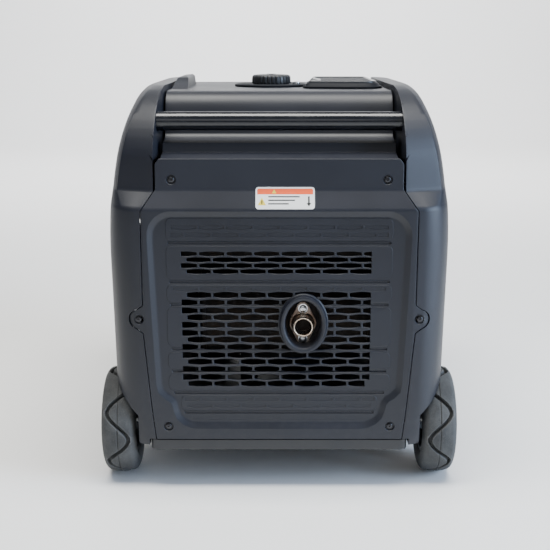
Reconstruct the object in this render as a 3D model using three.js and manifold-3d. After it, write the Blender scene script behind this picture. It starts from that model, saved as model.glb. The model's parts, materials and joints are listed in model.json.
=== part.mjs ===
// A closed-frame portable generator: a petrol engine and its alternator under a moulded housing, on a pressed
// steel pan with two wheels at the exhaust end, a tow handle at the control end and a carry bar over the
// exhaust. Millimetres. +Z is up, -Y is the exhaust end, +Y the control end. The origin lies on the ground,
// under the middle.
import * as THREE from "three";
import { mergeVertices } from "three/addons/utils/BufferGeometryUtils.js";
import Module from "manifold-3d";

const wasm = await Module();
wasm.setup();

// ---------------------------------------------------------------- driving dimensions
const bodyLength = 590; // exhaust face to control face
const bodyWidth = 450; // across the flanks
const bodyTop = 528; // crown of the two side arches
const wall = 3; // moulded wall
const seat = 0.4; // clearance where one piece seats in another
const seam = 0.6; // gap between two housing panels
const proud = 5; // how far the exhaust collar and the dial stand out of the end faces

const skirtBottom = 61; // underside of the side panels
const panBottom = 55;
const panDepth = 14;
const panHalfWidth = 170;
const panSheet = 2.5;

const wheelRadius = 73;
const tyreWidth = 46;
const wheelStandOut = 13; // how far the tyres stand out of the flanks
const axleInset = 75; // axle centre in from the exhaust face
const axleRadius = 8;
const archClearance = 4; // tyre to wheel arch

const panelTop = 440; // top edge of the end panels
const slopeFoot = 62; // the end panels lean back between these two depths below their top
const slopeHead = 40;
const earRadius = 12.5; // the ear that holds an end panel's middle screw
const earHeight = 233.5;
const footScrewHeight = 88;
const recessDepth = 4; // the field of the exhaust panel is set back by this
const lidTop = 520;
const lidHalfWidth = 152;
const carryBarRadius = 12.5;
const carryBarHeight = 484;
const carryBarInset = 59; // bar centre in from the end face
const towBarInset = 55; // the same for the tow handle
const carryBarHalf = 161; // middle to an end, inside the wall of an arch
const handleTubeRadius = 10;
const guideWall = 3.5; // moulded wall round a handle tube
const guideLength = 105;
const handleArm = 340; // grip to the hidden end of an arm

const exhaustX = 31.2;
const exhaustHeight = 222;
const collarHeight = exhaustHeight + 5.5;
const collarHalfWidth = 30.5;
const collarHalfHeight = 39;
const collarRing = 6.5;
const outletRadius = 13.5;
const boltClearance = 7; // outlet tube to the middle of a flange screw

const crankHeight = 190;
const crankY = 15;
const capX = -11;
const capY = -20;
const capRadius = 29;
const capHeight = 17;

const halfLength = bodyLength / 2;
const halfWidth = bodyWidth / 2;
const axleY = -halfLength + axleInset;
const tyreOuterX = halfWidth + wheelStandOut;
const tyreInnerX = tyreOuterX - tyreWidth;
const wellWallX = tyreInnerX - archClearance - 1.5; // inner wall of the wheel arch
const panTop = panBottom + panDepth;
const panFloor = panBottom + panSheet;
const earX = panHalfWidth + 12;
const handleHalfSpan = lidHalfWidth - handleTubeRadius - guideWall - seat - 0.1;
const flangeBoltReach = outletRadius + boltClearance;
const far = 2 * bodyLength; // longer than anything that it cuts

// ---------------------------------------------------------------- solids
// A closed three.js geometry as a solid that can be joined and cut. A mirrored one is turned right way out.
function solid(geometry) {
  const bare = geometry.clone();
  for (const name of Object.keys(bare.attributes)) if (name !== "position") bare.deleteAttribute(name);
  const merged = mergeVertices(bare, 1e-4);
  const triVerts = new Uint32Array(merged.index.array);
  const vertProperties = new Float32Array(merged.attributes.position.array);
  const made = new wasm.Manifold(new wasm.Mesh({ numProp: 3, vertProperties, triVerts }));
  if (made.volume() >= 0) return made;
  for (let i = 0; i < triVerts.length; i += 3) {
    [triVerts[i + 1], triVerts[i + 2]] = [triVerts[i + 2], triVerts[i + 1]];
  }
  return new wasm.Manifold(new wasm.Mesh({ numProp: 3, vertProperties, triVerts }));
}

function geometryOf(body) {
  const mesh = body.getMesh();
  return new THREE.BufferGeometry()
    .setAttribute("position", new THREE.BufferAttribute(new Float32Array(mesh.vertProperties), 3))
    .setIndex(new THREE.BufferAttribute(new Uint32Array(mesh.triVerts), 1));
}

const join = (...bodies) => bodies.reduce((all, body) => all.add(body));
const cut = (body, ...cutters) => cutters.reduce((left, cutter) => left.subtract(cutter), body);

// The basis that turns an outline's own (across, up, along) into the model's axes.
const bases = {
  x: new THREE.Matrix4().makeBasis(axis(0, 1, 0), axis(0, 0, 1), axis(1, 0, 0)),
  y: new THREE.Matrix4().makeBasis(axis(1, 0, 0), axis(0, 0, 1), axis(0, -1, 0)),
  z: new THREE.Matrix4(),
};

function axis(x, y, z) {
  return new THREE.Vector3(x, y, z);
}

function asShape(outline) {
  if (outline instanceof THREE.Shape) return outline;
  return new THREE.Shape(outline.map(([a, b]) => new THREE.Vector2(a, b)));
}

// An outline pushed along an axis: seen along X it is (y, z), along Y it is (x, z), along Z it is (x, y).
function prism(outline, along, from, to, bevel = null, curveSegments = 3) {
  const lip = bevel ? bevel.thickness : 0;
  const geometry = new THREE.ExtrudeGeometry(asShape(outline), {
    depth: to - from - 2 * lip,
    bevelEnabled: Boolean(bevel),
    bevelThickness: lip,
    bevelSize: bevel ? bevel.size : 0,
    bevelOffset: bevel ? -bevel.size : 0,
    bevelSegments: bevel ? (bevel.segments ?? 1) : 1,
    curveSegments,
  });
  const start = along === "y" ? -to + lip : from + lip;
  return solid(geometry.translate(0, 0, start).applyMatrix4(bases[along]));
}

function block(x0, x1, y0, y1, z0, z1) {
  const geometry = new THREE.BoxGeometry(x1 - x0, y1 - y0, z1 - z0);
  return solid(geometry.translate((x0 + x1) / 2, (y0 + y1) / 2, (z0 + z1) / 2));
}

// A profile of [radius, place along the axis], turned round an axis through centre.
function turned(profile, along, centre, segments = 20) {
  const points = profile.map(([radius, place]) => new THREE.Vector2(radius, place));
  const geometry = new THREE.LatheGeometry(points, segments);
  if (along === "x") geometry.rotateZ(-Math.PI / 2);
  if (along === "z") geometry.rotateX(Math.PI / 2);
  return solid(geometry.translate(...centre));
}

function rod(radius, along, from, to, centre, segments = 16) {
  return turned([[0, from], [radius, from], [radius, to], [0, to]], along, centre, segments);
}

function roundedRectangle(across, up, width, height, radius) {
  const [l, r, b, t] = [across - width / 2, across + width / 2, up - height / 2, up + height / 2];
  const shape = new THREE.Shape();
  shape.moveTo(l + radius, b).lineTo(r - radius, b).quadraticCurveTo(r, b, r, b + radius);
  shape.lineTo(r, t - radius).quadraticCurveTo(r, t, r - radius, t);
  shape.lineTo(l + radius, t).quadraticCurveTo(l, t, l, t - radius);
  shape.lineTo(l, b + radius).quadraticCurveTo(l, b, l + radius, b);
  return shape;
}

function oval(across, up, halfAcross, halfUp, segments = 20) {
  const angles = Array.from({ length: segments }, (_, i) => (2 * Math.PI * i) / segments);
  return angles.map((a) => [across + halfAcross * Math.cos(a), up + halfUp * Math.sin(a)]);
}

// The right half of an outline, bottom to top, with its left half added.
const symmetric = (half) => [...half, ...half.toReversed().map(([x, z]) => [-x, z])];

function arc(centreX, centreZ, radius, fromDegrees, toDegrees, steps) {
  return Array.from({ length: steps + 1 }, (_, i) => {
    const angle = THREE.MathUtils.degToRad(fromDegrees + ((toDegrees - fromDegrees) * i) / steps);
    return [centreX + radius * Math.cos(angle), centreZ + radius * Math.sin(angle)];
  });
}

// ---------------------------------------------------------------- the housing's outer form
// The flank from the skirt up to the crown, as [half width, height].
function flankLine() {
  const path = new THREE.Path();
  path.moveTo(halfWidth - 17, skirtBottom);
  path.quadraticCurveTo(halfWidth - 7, skirtBottom + 6, halfWidth - 4, skirtBottom + 64);
  path.lineTo(halfWidth, bodyTop - 215);
  path.bezierCurveTo(
    halfWidth + 1, bodyTop - 130, halfWidth - 12, bodyTop - 62, halfWidth - 30, bodyTop - 24,
  );
  path.quadraticCurveTo(halfWidth - 38, bodyTop - 3, halfWidth - 50, bodyTop);
  path.lineTo(0, bodyTop);
  return path.getPoints(6).map((p) => [p.x, p.y]);
}

// The end of the housing from the skirt up to the crown, as [distance from the middle, height].
function endLine() {
  const path = new THREE.Path();
  path.moveTo(halfLength, skirtBottom).lineTo(halfLength, panelTop - slopeFoot);
  path.lineTo(halfLength - 12, panelTop - slopeHead).lineTo(halfLength - 14, panelTop);
  path.bezierCurveTo(halfLength - 20, bodyTop - 50, halfLength - 48, bodyTop - 4, halfLength - 115, bodyTop);
  path.lineTo(0, bodyTop);
  return path.getPoints(8).map((p) => [p.x, p.y]);
}

// An open line moved to its left by a distance, each corner on the crossing of its two moved neighbours.
function moved(line, distance) {
  const points = line.map(([x, z]) => new THREE.Vector2(x, z));
  const normals = points.slice(1).map((p, i) => {
    const d = p.clone().sub(points[i]).normalize();
    return new THREE.Vector2(-d.y, d.x);
  });
  return points.map((p, i) => {
    const a = normals[Math.max(0, i - 1)];
    const b = normals[Math.min(normals.length - 1, i)];
    const sum = a.clone().add(b);
    return p.clone().addScaledVector(sum, (2 * distance) / sum.lengthSq()).toArray();
  });
}

function acrossAt(line, height) {
  for (let i = 1; i < line.length; i++) {
    const [[x0, z0], [x1, z1]] = [line[i - 1], line[i]];
    if (height <= z1 && z1 > z0) return x0 + ((x1 - x0) * Math.max(0, height - z0)) / (z1 - z0);
  }
  return line.at(-1)[0];
}

// One corner of the plan at a height, as points set back from the flank and from the end. Above the end
// panel's slope it is a flat band with a crease at its outer edge, and below the slope it is a soft turn.
const softTurn = [[49, 0], [34, 3], [20, 11], [10, 24], [3, 45], [0, 80]];
const creasedBand = [[60, 0], [36, 9.5], [12, 19], [7, 31], [2.5, 50], [0, 80]];

function planCorner(x, y, height) {
  const share = THREE.MathUtils.smoothstep(height, panelTop - slopeFoot, panelTop - slopeHead);
  return softTurn.map(([back, inwards], i) => {
    const [bandBack, bandInwards] = creasedBand[i];
    return [x - back + (back - bandBack) * share, y - inwards + (inwards - bandInwards) * share];
  });
}

// The housing as a stack of level rings, all faces moved in by inset.
function housing(inset, bottom) {
  const flank = moved(flankLine(), inset);
  const end = moved(endLine(), inset);
  const top = bodyTop - inset;
  const levels = [bottom];
  for (const [, z] of [...flank, ...end].sort((a, b) => a[1] - b[1])) {
    if (z > levels.at(-1) + 5 && z < top - 0.4) levels.push(z);
  }
  levels.push(top);
  const rings = levels.map((z) => {
    const corner = planCorner(acrossAt(flank, z), acrossAt(end, z), z);
    const rightSide = [...corner.map(([x, y]) => [x, -y]), ...corner.toReversed()];
    const ring = [...rightSide, ...rightSide.toReversed().map(([x, y]) => [-x, y])];
    return ring.map(([x, y]) => [x, y, z]);
  });
  return stack(rings);
}

// A closed body through rings of equally many points, capped at both ends.
function stack(rings) {
  const count = rings[0].length;
  const positions = rings.flat(2);
  const index = [];
  for (let r = 0; r + 1 < rings.length; r++) {
    for (let i = 0; i < count; i++) {
      const [a, b] = [r * count + i, r * count + ((i + 1) % count)];
      index.push(a, b, b + count, a, b + count, a + count);
    }
  }
  const cap = THREE.ShapeUtils.triangulateShape(rings[0].map(([x, y]) => new THREE.Vector2(x, y)), []);
  const last = (rings.length - 1) * count;
  for (const [a, b, c] of cap) index.push(a, c, b, a + last, b + last, c + last);
  const geometry = new THREE.BufferGeometry();
  geometry.setAttribute("position", new THREE.Float32BufferAttribute(positions, 3));
  return solid(geometry.setIndex(index));
}

// What an end panel covers, seen along Y. The ear at each side holds the middle screw.
function endPanelOutline(grow = 0) {
  const shoulder = panHalfWidth + 6 + grow; // half width below the slope
  const neck = panHalfWidth - 12 + grow; // half width above it
  const earReach = earRadius + 6; // ear centre to where its sides meet the panel's
  return symmetric([
    [panHalfWidth - 8 + grow, panTop + 1 - grow],
    [panHalfWidth - 4 + grow, panTop + 34],
    [shoulder, earHeight - earReach],
    ...arc(earX, earHeight, earRadius + grow, -75, 75, 6),
    [shoulder, earHeight + earReach],
    [shoulder + 0.5, panelTop - slopeFoot - 4],
    [neck, panelTop - slopeHead + 1],
    [neck, panelTop - 7],
    [neck - 5, panelTop + grow],
  ]);
}

// The inner wall of an arch, seen from above: it leans out towards both ends of the body.
const archWallX = (y) => lidHalfWidth + seam + (9 * Math.max(0, Math.abs(y) - 150)) / (halfLength - 150);

function outsideArchWall(offset) {
  const near = [-halfLength, -150, 150, halfLength].map((y) => [archWallX(y) + offset, y]);
  return [...near, [far, halfLength], [far, -halfLength]];
}

function wheelWell(grow) {
  const reach = wheelRadius + archClearance + grow;
  return rod(reach, "x", wellWallX - grow, far, [0, axleY, wheelRadius], 28);
}

const outerForm = housing(0, skirtBottom);
const innerForm = housing(wall, skirtBottom + wall);
const channelFloor = panelTop - wall;

// The right side panel before its openings: flank, corners, floor strip, wheel arch and hollow arch on top.
function sidePanelBlank() {
  const form = cut(
    outerForm.intersect(prism(outsideArchWall(0), "z", 0, bodyTop + 1)),
    wheelWell(0),
    block(0, panHalfWidth + 1.5, -far, far, 0, panTop + 1),
  );
  const axleHole = rod(axleRadius + seat, "x", 0, far, [0, axleY, wheelRadius]);
  const room = join(
    innerForm.intersect(prism(outsideArchWall(wall), "z", 0, bodyTop)),
    innerForm.intersect(block(0, far, -far, far, 0, channelFloor)),
  );
  const covered = prism(endPanelOutline(seam), "y", -far, far);
  const middle = block(0, far, -halfLength + 40, halfLength - 40, 0, far);
  return cut(form, cut(room, wheelWell(wall)), cut(covered, middle), axleHole);
}

function slotRow(y, z, length, height) {
  return block(halfWidth - 30, far, y - length / 2, y + length / 2, z - height / 2, z + height / 2);
}

// ---------------------------------------------------------------- side panels, service door and its latch
const doorY = 10;
const doorZ = 250;
const doorLength = 210;
const doorHeight = 230;
const doorCorner = 22;
const latchY = doorY - doorLength / 2 + 26;
const latchRadius = 13;
const gripY = 95;
const gripZ = 318;
const ventY = halfLength - 80;
const ventLength = 84;
const sideVents = Array.from({ length: 9 }, (_, i) => skirtBottom + 60 + i * 20);

const doorShape = (grow) =>
  roundedRectangle(doorY, doorZ, doorLength + 2 * grow, doorHeight + 2 * grow, doorCorner + grow);

function ventRows(y, length) {
  return sideVents.map((z) => slotRow(y, z, length, 9));
}

function rightSidePanel() {
  const doorOpening = prism(doorShape(seam), "x", 0, far);
  return cut(sidePanelBlank(), doorOpening, ...ventRows(ventY, ventLength), carryBarHole());
}

function mirrored(body) {
  return solid(geometryOf(body).scale(-1, 1, 1));
}

function leftSidePanel() {
  const gripOpening = prism(roundedRectangle(gripY, gripZ, 108, 40, 16), "x", 0, far);
  const frontRows = ventRows(ventY, ventLength);
  const middleRows = ventRows(-20, 130).slice(0, 7); // below the grip
  const blank = cut(sidePanelBlank(), gripOpening, ...frontRows, ...middleRows);
  return mirrored(cut(blank, carryBarHole()));
}

function carryBarHole() {
  const reach = carryBarHalf + seat;
  return rod(carryBarRadius + seat, "x", 0, reach, [0, -halfLength + carryBarInset, carryBarHeight]);
}

function serviceDoor() {
  const skin = cut(outerForm, innerForm).intersect(prism(doorShape(0), "x", halfWidth - 30, far));
  const stem = rod(5 + seat, "x", 0, far, [0, latchY, doorZ], 16);
  return cut(skin, stem);
}

function doorLatch() {
  const skinX = acrossAt(flankLine(), doorZ);
  const knob = rod(latchRadius, "x", skinX + seat, skinX + 6, [0, latchY, doorZ], 20);
  const wingHalf = latchRadius - 1;
  const wing = block(skinX + 5, skinX + 12, latchY - 3, latchY + 3, doorZ - wingHalf, doorZ + wingHalf);
  const stem = rod(5, "x", skinX - 14, skinX + 1, [0, latchY, doorZ], 16);
  const cam = block(skinX - 14, skinX - 10, latchY - 5, latchY + 5, doorZ - 20, doorZ + 5);
  return join(knob, wing, stem, cam);
}

// ---------------------------------------------------------------- end panels
// The set-back field of the exhaust panel, seen along Y.
function fieldShape() {
  const [w, b, t] = [panHalfWidth - 15, 94, panelTop - 73];
  const shape = new THREE.Shape();
  shape.moveTo(-w + 60, b).lineTo(w - 60, b).quadraticCurveTo(w - 33, b, w - 27, b + 18);
  shape.quadraticCurveTo(w - 22, b + 32, w - 9, b + 41).quadraticCurveTo(w - 1, b + 47, w - 1, b + 62);
  shape.lineTo(w, t - 26).quadraticCurveTo(w, t, w - 24, t).lineTo(-w + 24, t);
  shape.quadraticCurveTo(-w, t, -w, t - 26).lineTo(-w + 1, b + 62);
  shape.quadraticCurveTo(-w + 1, b + 47, -w + 9, b + 41).quadraticCurveTo(-w + 22, b + 32, -w + 27, b + 18);
  return shape.quadraticCurveTo(-w + 33, b, -w + 60, b);
}

const grilleLeft = -126;
const grilleRight = 118;
const slotPitch = 35.2;
const slotBar = 3.2;
const firstBar = 21.7; // first bar in from the grille's left side
const shiftedInset = 7; // a shifted row starts this much further in
const narrowestSlot = 8;
const upperRows = { top: panelTop - 120.5, pitch: 7.7, count: 4, halfHeight: 2.9 };
const lowerRows = {
  top: panelTop - 174.6,
  groupPitch: 29.9,
  within: [0, 10, 20.8],
  count: 13,
  halfHeight: 3.9,
};

// One row of slots between the two sides of the grille, its bars a half pitch over when shifted.
function grilleRow(height, halfHeight, shifted) {
  const start = grilleLeft + (shifted ? shiftedInset : 0);
  const edges = [start];
  let bar = grilleLeft + firstBar + (shifted ? slotPitch / 2 : 0);
  for (; bar < grilleRight - narrowestSlot; bar += slotPitch) {
    edges.push(bar - slotBar / 2, bar + slotBar / 2);
  }
  edges.push(grilleRight);
  const slots = [];
  for (let i = 0; i + 1 < edges.length; i += 2) {
    const [l, r, b, t] = [edges[i], edges[i + 1], height - halfHeight, height + halfHeight];
    slots.push([[l, b], [r, b], [r, t], [l, t]]);
  }
  return slots;
}

// Four rows above, alternately shifted, and thirteen below in threes of which the first is shifted.
function grilleSlots() {
  const upper = Array.from({ length: upperRows.count }, (_, i) =>
    grilleRow(upperRows.top - upperRows.pitch * i, upperRows.halfHeight, i % 2 === 1),
  );
  const lower = Array.from({ length: lowerRows.count }, (_, i) => {
    const height = lowerRows.top - lowerRows.groupPitch * Math.floor(i / 3) - lowerRows.within[i % 3];
    return grilleRow(height, lowerRows.halfHeight, i % 3 === 0);
  });
  return [...upper, ...lower].flat().map((slot) => prism(slot, "y", -halfLength - 1, -halfLength + 20));
}

function shellBehind(outline, from, to) {
  return cut(outerForm, innerForm).intersect(prism(outline, "y", from, to));
}

const screwPlaces = [
  [137.5, panelTop - 26.4],
  [earX, earHeight],
  [146, footScrewHeight],
];

function screwWells(face) {
  const depth = 9;
  const well = (x, z) => rod(2.6, "y", face - depth, face + depth, [x, 0, z], 8);
  return screwPlaces.flatMap(([x, z]) => [well(x, z), well(-x, z)]);
}

function rearPanel() {
  const face = -halfLength;
  const skin = shellBehind(endPanelOutline(), face - 1, face + 40);
  const field = fieldShape();
  const lip = { thickness: 0.5, size: 0.5 };
  const rim = { thickness: recessDepth, size: 6 };
  const backing = prism(field, "y", face + wall - 1, face + recessDepth + wall, lip);
  const dish = prism(field, "y", face - 10, face + recessDepth, rim);
  const collar = prism(
    oval(exhaustX, collarHeight, collarHalfWidth, collarHalfHeight), "y", face - proud, face + 19,
    { thickness: 2, size: 2 },
  );
  const [throatAcross, throatUp] = [collarHalfWidth - collarRing, collarHalfHeight - collarRing - 1];
  const throat = prism(oval(exhaustX, collarHeight, throatAcross, throatUp), "y", face - 20, face + 30);
  const plate = cut(join(skin, backing), dish);
  return cut(join(cut(plate, ...grilleSlots()), collar), throat, ...screwWells(face));
}

const windowZ = 290;
const windowWidth = 292;
const windowHeight = 186;
const windowCorner = 14;
const controlSet = 11; // the control panel's face is set back by this
const controlFace = halfLength - controlSet;

function frontPanel() {
  const skin = shellBehind(endPanelOutline(), halfLength - 40, halfLength + 1);
  const window = roundedRectangle(0, windowZ, windowWidth, windowHeight, windowCorner);
  const surround = roundedRectangle(
    0, windowZ, windowWidth + 2 * wall, windowHeight + 2 * wall, windowCorner + 2,
  );
  const hole = prism(window, "y", halfLength - 60, halfLength + 9);
  const frame = prism(surround, "y", controlFace - wall, halfLength - wall + 0.5);
  const louvre = { count: 6, pitch: 14, lowest: panTop + 27, half: 3.5, inner: 11, outer: 129 };
  const rows = Array.from({ length: louvre.count }, (_, i) => louvre.lowest + i * louvre.pitch);
  const louvres = rows.flatMap((z) => [
    block(louvre.inner, louvre.outer, 0, far, z - louvre.half, z + louvre.half),
    block(-louvre.outer, -louvre.inner, 0, far, z - louvre.half, z + louvre.half),
  ]);
  return cut(join(skin, frame), hole, ...louvres);
}

function controlPanel() {
  const plate = prism(
    roundedRectangle(0, windowZ, windowWidth - 2 * seat, windowHeight - 2 * seat, windowCorner - seat),
    "y", controlFace - wall, controlFace,
  );
  const holes = [buttonPlace, dialPlace, breakerPlace].map(({ x, z, stem }) =>
    rod(stem + seat, "y", controlFace - 20, controlFace + 5, [x, 0, z], 16),
  );
  const { x, z, width, height } = rockerPlace;
  const [across, up] = [width / 2 + 1, height / 2 + 1];
  const rockerHole = block(x - across, x + across, 0, far, z - up, z + up);
  return cut(plate, ...holes, rockerHole);
}

const buttonPlace = { x: -112, z: 345, radius: 11, stem: 8, travel: 2.5 };
const dialPlace = { x: -104, z: 285, radius: 22, stem: 6, travel: 0.5 };
const breakerPlace = { x: -112, z: 230, radius: 7, stem: 4, travel: 2.5 };
const rockerPlace = { x: -70, z: 345, width: 16, height: 24 };
const outletPlaces = [
  ["outlet_left", 0],
  ["outlet_right", 62],
];
const outletHeight = 262;
const displayPlace = { x: 28, z: 346, width: 96, height: 40 };

// A round control on a stem through the panel, held off its face by the distance that it is pressed in.
function knobOnStem({ x, z, radius, stem, travel }, out) {
  const disc = rod(radius, "y", controlFace + travel + seat, controlFace + out, [x, 0, z], 24);
  return join(disc, rod(stem, "y", controlFace - 12, controlFace + travel + 1, [x, 0, z]));
}

function engineDial() {
  const grip = block(dialPlace.x - 4, dialPlace.x + 4, controlFace + 8, controlFace + controlSet + proud,
    dialPlace.z - 20, dialPlace.z + 20);
  return join(knobOnStem(dialPlace, 10), grip);
}

function rocker() {
  const { x, z, width, height } = rockerPlace;
  const outline = [
    [controlFace - 8, z - height / 2 + 2], [controlFace + 5, z - height / 2 + 1], [controlFace + 2.5, z],
    [controlFace + 5, z + height / 2 - 1], [controlFace - 8, z + height / 2 - 2],
  ];
  return prism(outline, "x", x - width / 2 + 0.6, x + width / 2 - 0.6);
}

function outlet(x) {
  const plate = prism(roundedRectangle(x, outletHeight, 50, 84, 6), "y", controlFace + seat, controlFace + 7,
    { thickness: 1, size: 1 });
  const holes = [-20, 20].flatMap((up) => [
    block(x - 8, x - 5.5, controlFace + 3, far, outletHeight + up - 4, outletHeight + up + 5),
    block(x + 5.5, x + 8, controlFace + 3, far, outletHeight + up - 4, outletHeight + up + 5),
    rod(2.8, "y", controlFace + 3, far, [x, 0, outletHeight + up - 10], 10),
  ]);
  return cut(plate, ...holes);
}

function lockingOutlet() {
  const centre = [116, 0, outletHeight + 14];
  const body = rod(25, "y", controlFace + seat, controlFace + 8, centre, 28);
  const rim = rod(18.5, "y", controlFace + 5, far, centre, 24);
  const face = rod(17.5, "y", controlFace + 4, controlFace + 7, centre, 24);
  const slots = [0, 1, 2].map((i) => {
    const turn = new THREE.Matrix4().makeRotationY((2 * Math.PI * i) / 3);
    const slot = new THREE.BoxGeometry(8, 30, 2.4).translate(0, 0, 10).applyMatrix4(turn);
    return solid(slot.translate(centre[0], controlFace + 20.4, centre[2]));
  });
  return cut(join(cut(body, rim), face), ...slots);
}

function groundTerminal() {
  const centre = [112, 0, 226];
  const nut = rod(8, "y", controlFace + seat, controlFace + 6, centre, 6);
  return join(nut, rod(3.5, "y", controlFace + seat, controlFace + 12, centre, 12));
}

function display() {
  const { x, z, width, height } = displayPlace;
  const frame = prism(roundedRectangle(x, z, width, height, 5), "y", controlFace + seat, controlFace + 4,
    { thickness: 1, size: 1 });
  const [across, up] = [width / 2 - 6, height / 2 - 6]; // half of the glass
  return cut(frame, block(x - across, x + across, controlFace + 2.5, far, z - up, z + up));
}

// ---------------------------------------------------------------- top cover with a hand recess at each end
// The outer line of the cover from the middle of its top to the end panel, as [distance out, height].
function coverLine() {
  const path = new THREE.Path();
  const slopeTop = halfLength - 115;
  path.moveTo(0, lidTop).lineTo(slopeTop - 17, lidTop);
  path.quadraticCurveTo(slopeTop + 5, lidTop - 1, slopeTop + 11, lidTop - 24);
  path.lineTo(slopeTop + 19, lidTop - 54);
  path.quadraticCurveTo(slopeTop + 22, lidTop - 60, slopeTop + 30, lidTop - 61);
  path.lineTo(halfLength - 58, lidTop - 64).lineTo(halfLength - 55, lidTop - 76);
  path.lineTo(halfLength - 20, panelTop - 1);
  return path.getPoints(6).map((p) => [p.x, p.y]);
}

const hatchOutline = new THREE.Shape();
hatchOutline.moveTo(50, -106).quadraticCurveTo(100, -120, 128, -112).quadraticCurveTo(146, -106, 147, -84);
hatchOutline.lineTo(147, 96).quadraticCurveTo(146, 116, 126, 118).lineTo(64, 118);
hatchOutline.quadraticCurveTo(46, 116, 46, 96).quadraticCurveTo(46, 40, 50, 6);
hatchOutline.quadraticCurveTo(53, -20, 48, -46).quadraticCurveTo(38, -78, 34, -92);
hatchOutline.quadraticCurveTo(34, -104, 50, -106);

const dishRadius = 54;

function sideScoop() {
  const [outer, inner, foot] = [lidHalfWidth - 2, lidHalfWidth - 24, lidTop - 2];
  const section = [[-outer, foot], [-inner, foot], [-inner - 0.5, foot + 16], [-inner - 3, foot + 18.5],
    [-outer + 7, foot + 17.5], [-outer + 2, foot + 8]];
  const side = [[-118, foot], [-88, foot + 16], [-74, foot + 20], [30, foot + 20], [60, foot]];
  return prism(section, "y", -120, 60).intersect(prism(side, "x", -outer, -inner));
}

function topCover() {
  const line = coverLine();
  const under = moved(line, -wall);
  const outline = [...line.toReversed().map(([y, z]) => [-y, z]), ...line.slice(1),
    ...under.toReversed(), ...under.slice(1).map(([y, z]) => [-y, z])];
  const sheet = prism(outline, "x", -lidHalfWidth, lidHalfWidth);
  const capHole = rod(capRadius + 3, "z", 0, far, [capX, capY, 0], 28);
  const hatchHole = prism(roundedRectangle(84, 5, 68, 180, 12), "z", 0, far);
  const arms = [-1, 1].map((side) =>
    rod(handleTubeRadius + 1, "y", 0, far, [side * handleHalfSpan, 0, carryBarHeight], 20),
  );
  return cut(join(sheet, sideScoop()), capHole, hatchHole, ...arms);
}

function capDish() {
  const profile = [[capRadius + 1, seat], [dishRadius, seat], [dishRadius, 3], [dishRadius - 4, 4.5],
    [dishRadius - 9, 3], [capRadius + 1, 2]];
  const ring = turned([...profile, profile[0]], "z", [0, 0, 0], 32);
  const placed = solid(geometryOf(ring).translate(capX, capY, lidTop));
  const notch = prism(hatchOutline, "z", lidTop - 20, lidTop + 20, { thickness: 1, size: -seat });
  return cut(placed, notch);
}

function serviceHatch() {
  const skin = prism(hatchOutline, "z", lidTop + seat, lidTop + 9, { thickness: 4, size: 9, segments: 2 });
  const lip = prism(hatchOutline, "z", lidTop + seat, lidTop + 3.4, { thickness: 1.2, size: 1.6 });
  const plug = prism(roundedRectangle(84, 5, 68 - 2 * seat, 180 - 2 * seat, 12), "z", lidTop - 8, lidTop + 1);
  const hollow = prism(roundedRectangle(84, 5, 62, 174, 10), "z", lidTop - 9, lidTop + 3);
  return cut(join(skin, lip, plug), hollow);
}

function fuelCap() {
  const base = lidTop + 1;
  const rim = { thickness: 1.5, size: 1.5 };
  const grip = prism(oval(0, 0, capRadius, capRadius, 24), "z", base + 3, base + capHeight, rim);
  return join(grip, rod(capRadius - 2.5, "z", base - 0.4, base + 4, [0, 0, 0], 24));
}

// ---------------------------------------------------------------- pan, axle, wheels and the front stand
function basePan() {
  const [w, l] = [panHalfWidth, halfLength - 1];
  const tray = prism(roundedRectangle(0, 0, 2 * w, 2 * l, 10), "z", panBottom, panTop, null, 2);
  const room = prism(
    roundedRectangle(0, 0, 2 * (w - panSheet), 2 * (l - panSheet), 8), "z", panFloor, far, null, 2,
  );
  const lugs = [-1, 1].map((side) =>
    block(side * 150 - 3, side * 150 + 3, axleY - 20, axleY + 20, panBottom + 1, wheelRadius + 20),
  );
  const axleHole = rod(axleRadius + seat, "x", -far, far, [0, axleY, wheelRadius], 20);
  const drains = [-1, 1].map((side) => rod(6, "z", 0, far, [side * 90, 40, 0], 12));
  return cut(join(cut(tray, room), ...lugs), axleHole, ...drains);
}

const axle = () => rod(axleRadius, "x", -tyreOuterX + 4, tyreOuterX - 4, [0, 0, 0], 20);

function tyre() {
  const half = tyreWidth / 2;
  const [bead, shoulder] = [wheelRadius - 27, wheelRadius - 12];
  const right = [[bead, half - 6], [bead + 6, half - 1], [shoulder - 3, half], [shoulder + 5, half - 4],
    [wheelRadius - 2, half - 12], [wheelRadius, half - 19]];
  const profile = [...right, ...right.toReversed().map(([r, x]) => [r, -x])];
  return turned([...profile, profile[0]], "x", [0, 0, 0], 32);
}

function wheelHub() {
  const half = tyreWidth / 2 - 6.5;
  const edge = wheelRadius - 27 - seat;
  const outer = [[edge, half], [edge - 3, half], [edge - 5, half - 8], [axleRadius + 12, half - 8],
    [axleRadius + 10, half + 2], [axleRadius + seat, half + 2]];
  const inner = outer.toReversed().map(([r, x]) => [r, -x]);
  return turned([...inner, ...outer, inner[0]], "x", [0, 0, 0], 24);
}

const standY = halfLength - 92;
const standReach = 128;
const footHeight = 33;

function frontStand() {
  const [w, d, top] = [standReach + 24, 20, panBottom - seat];
  const channel = block(-w, w, standY - d, standY + d, footHeight + seat, top);
  const room = block(-w + 45, w - 45, standY - d + wall, standY + d - wall, 0, top - wall);
  return cut(channel, room);
}

function rubberFoot(x) {
  return turned([[0, 0], [17, 0], [19, 3], [22, footHeight], [0, footHeight]], "z", [x, standY, 0], 20);
}

// ---------------------------------------------------------------- carry bar and tow handle
function carryBar() {
  return rod(carryBarRadius, "x", -carryBarHalf, carryBarHalf, [0, 0, 0], 24);
}

const handleY = halfLength - towBarInset;

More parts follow.
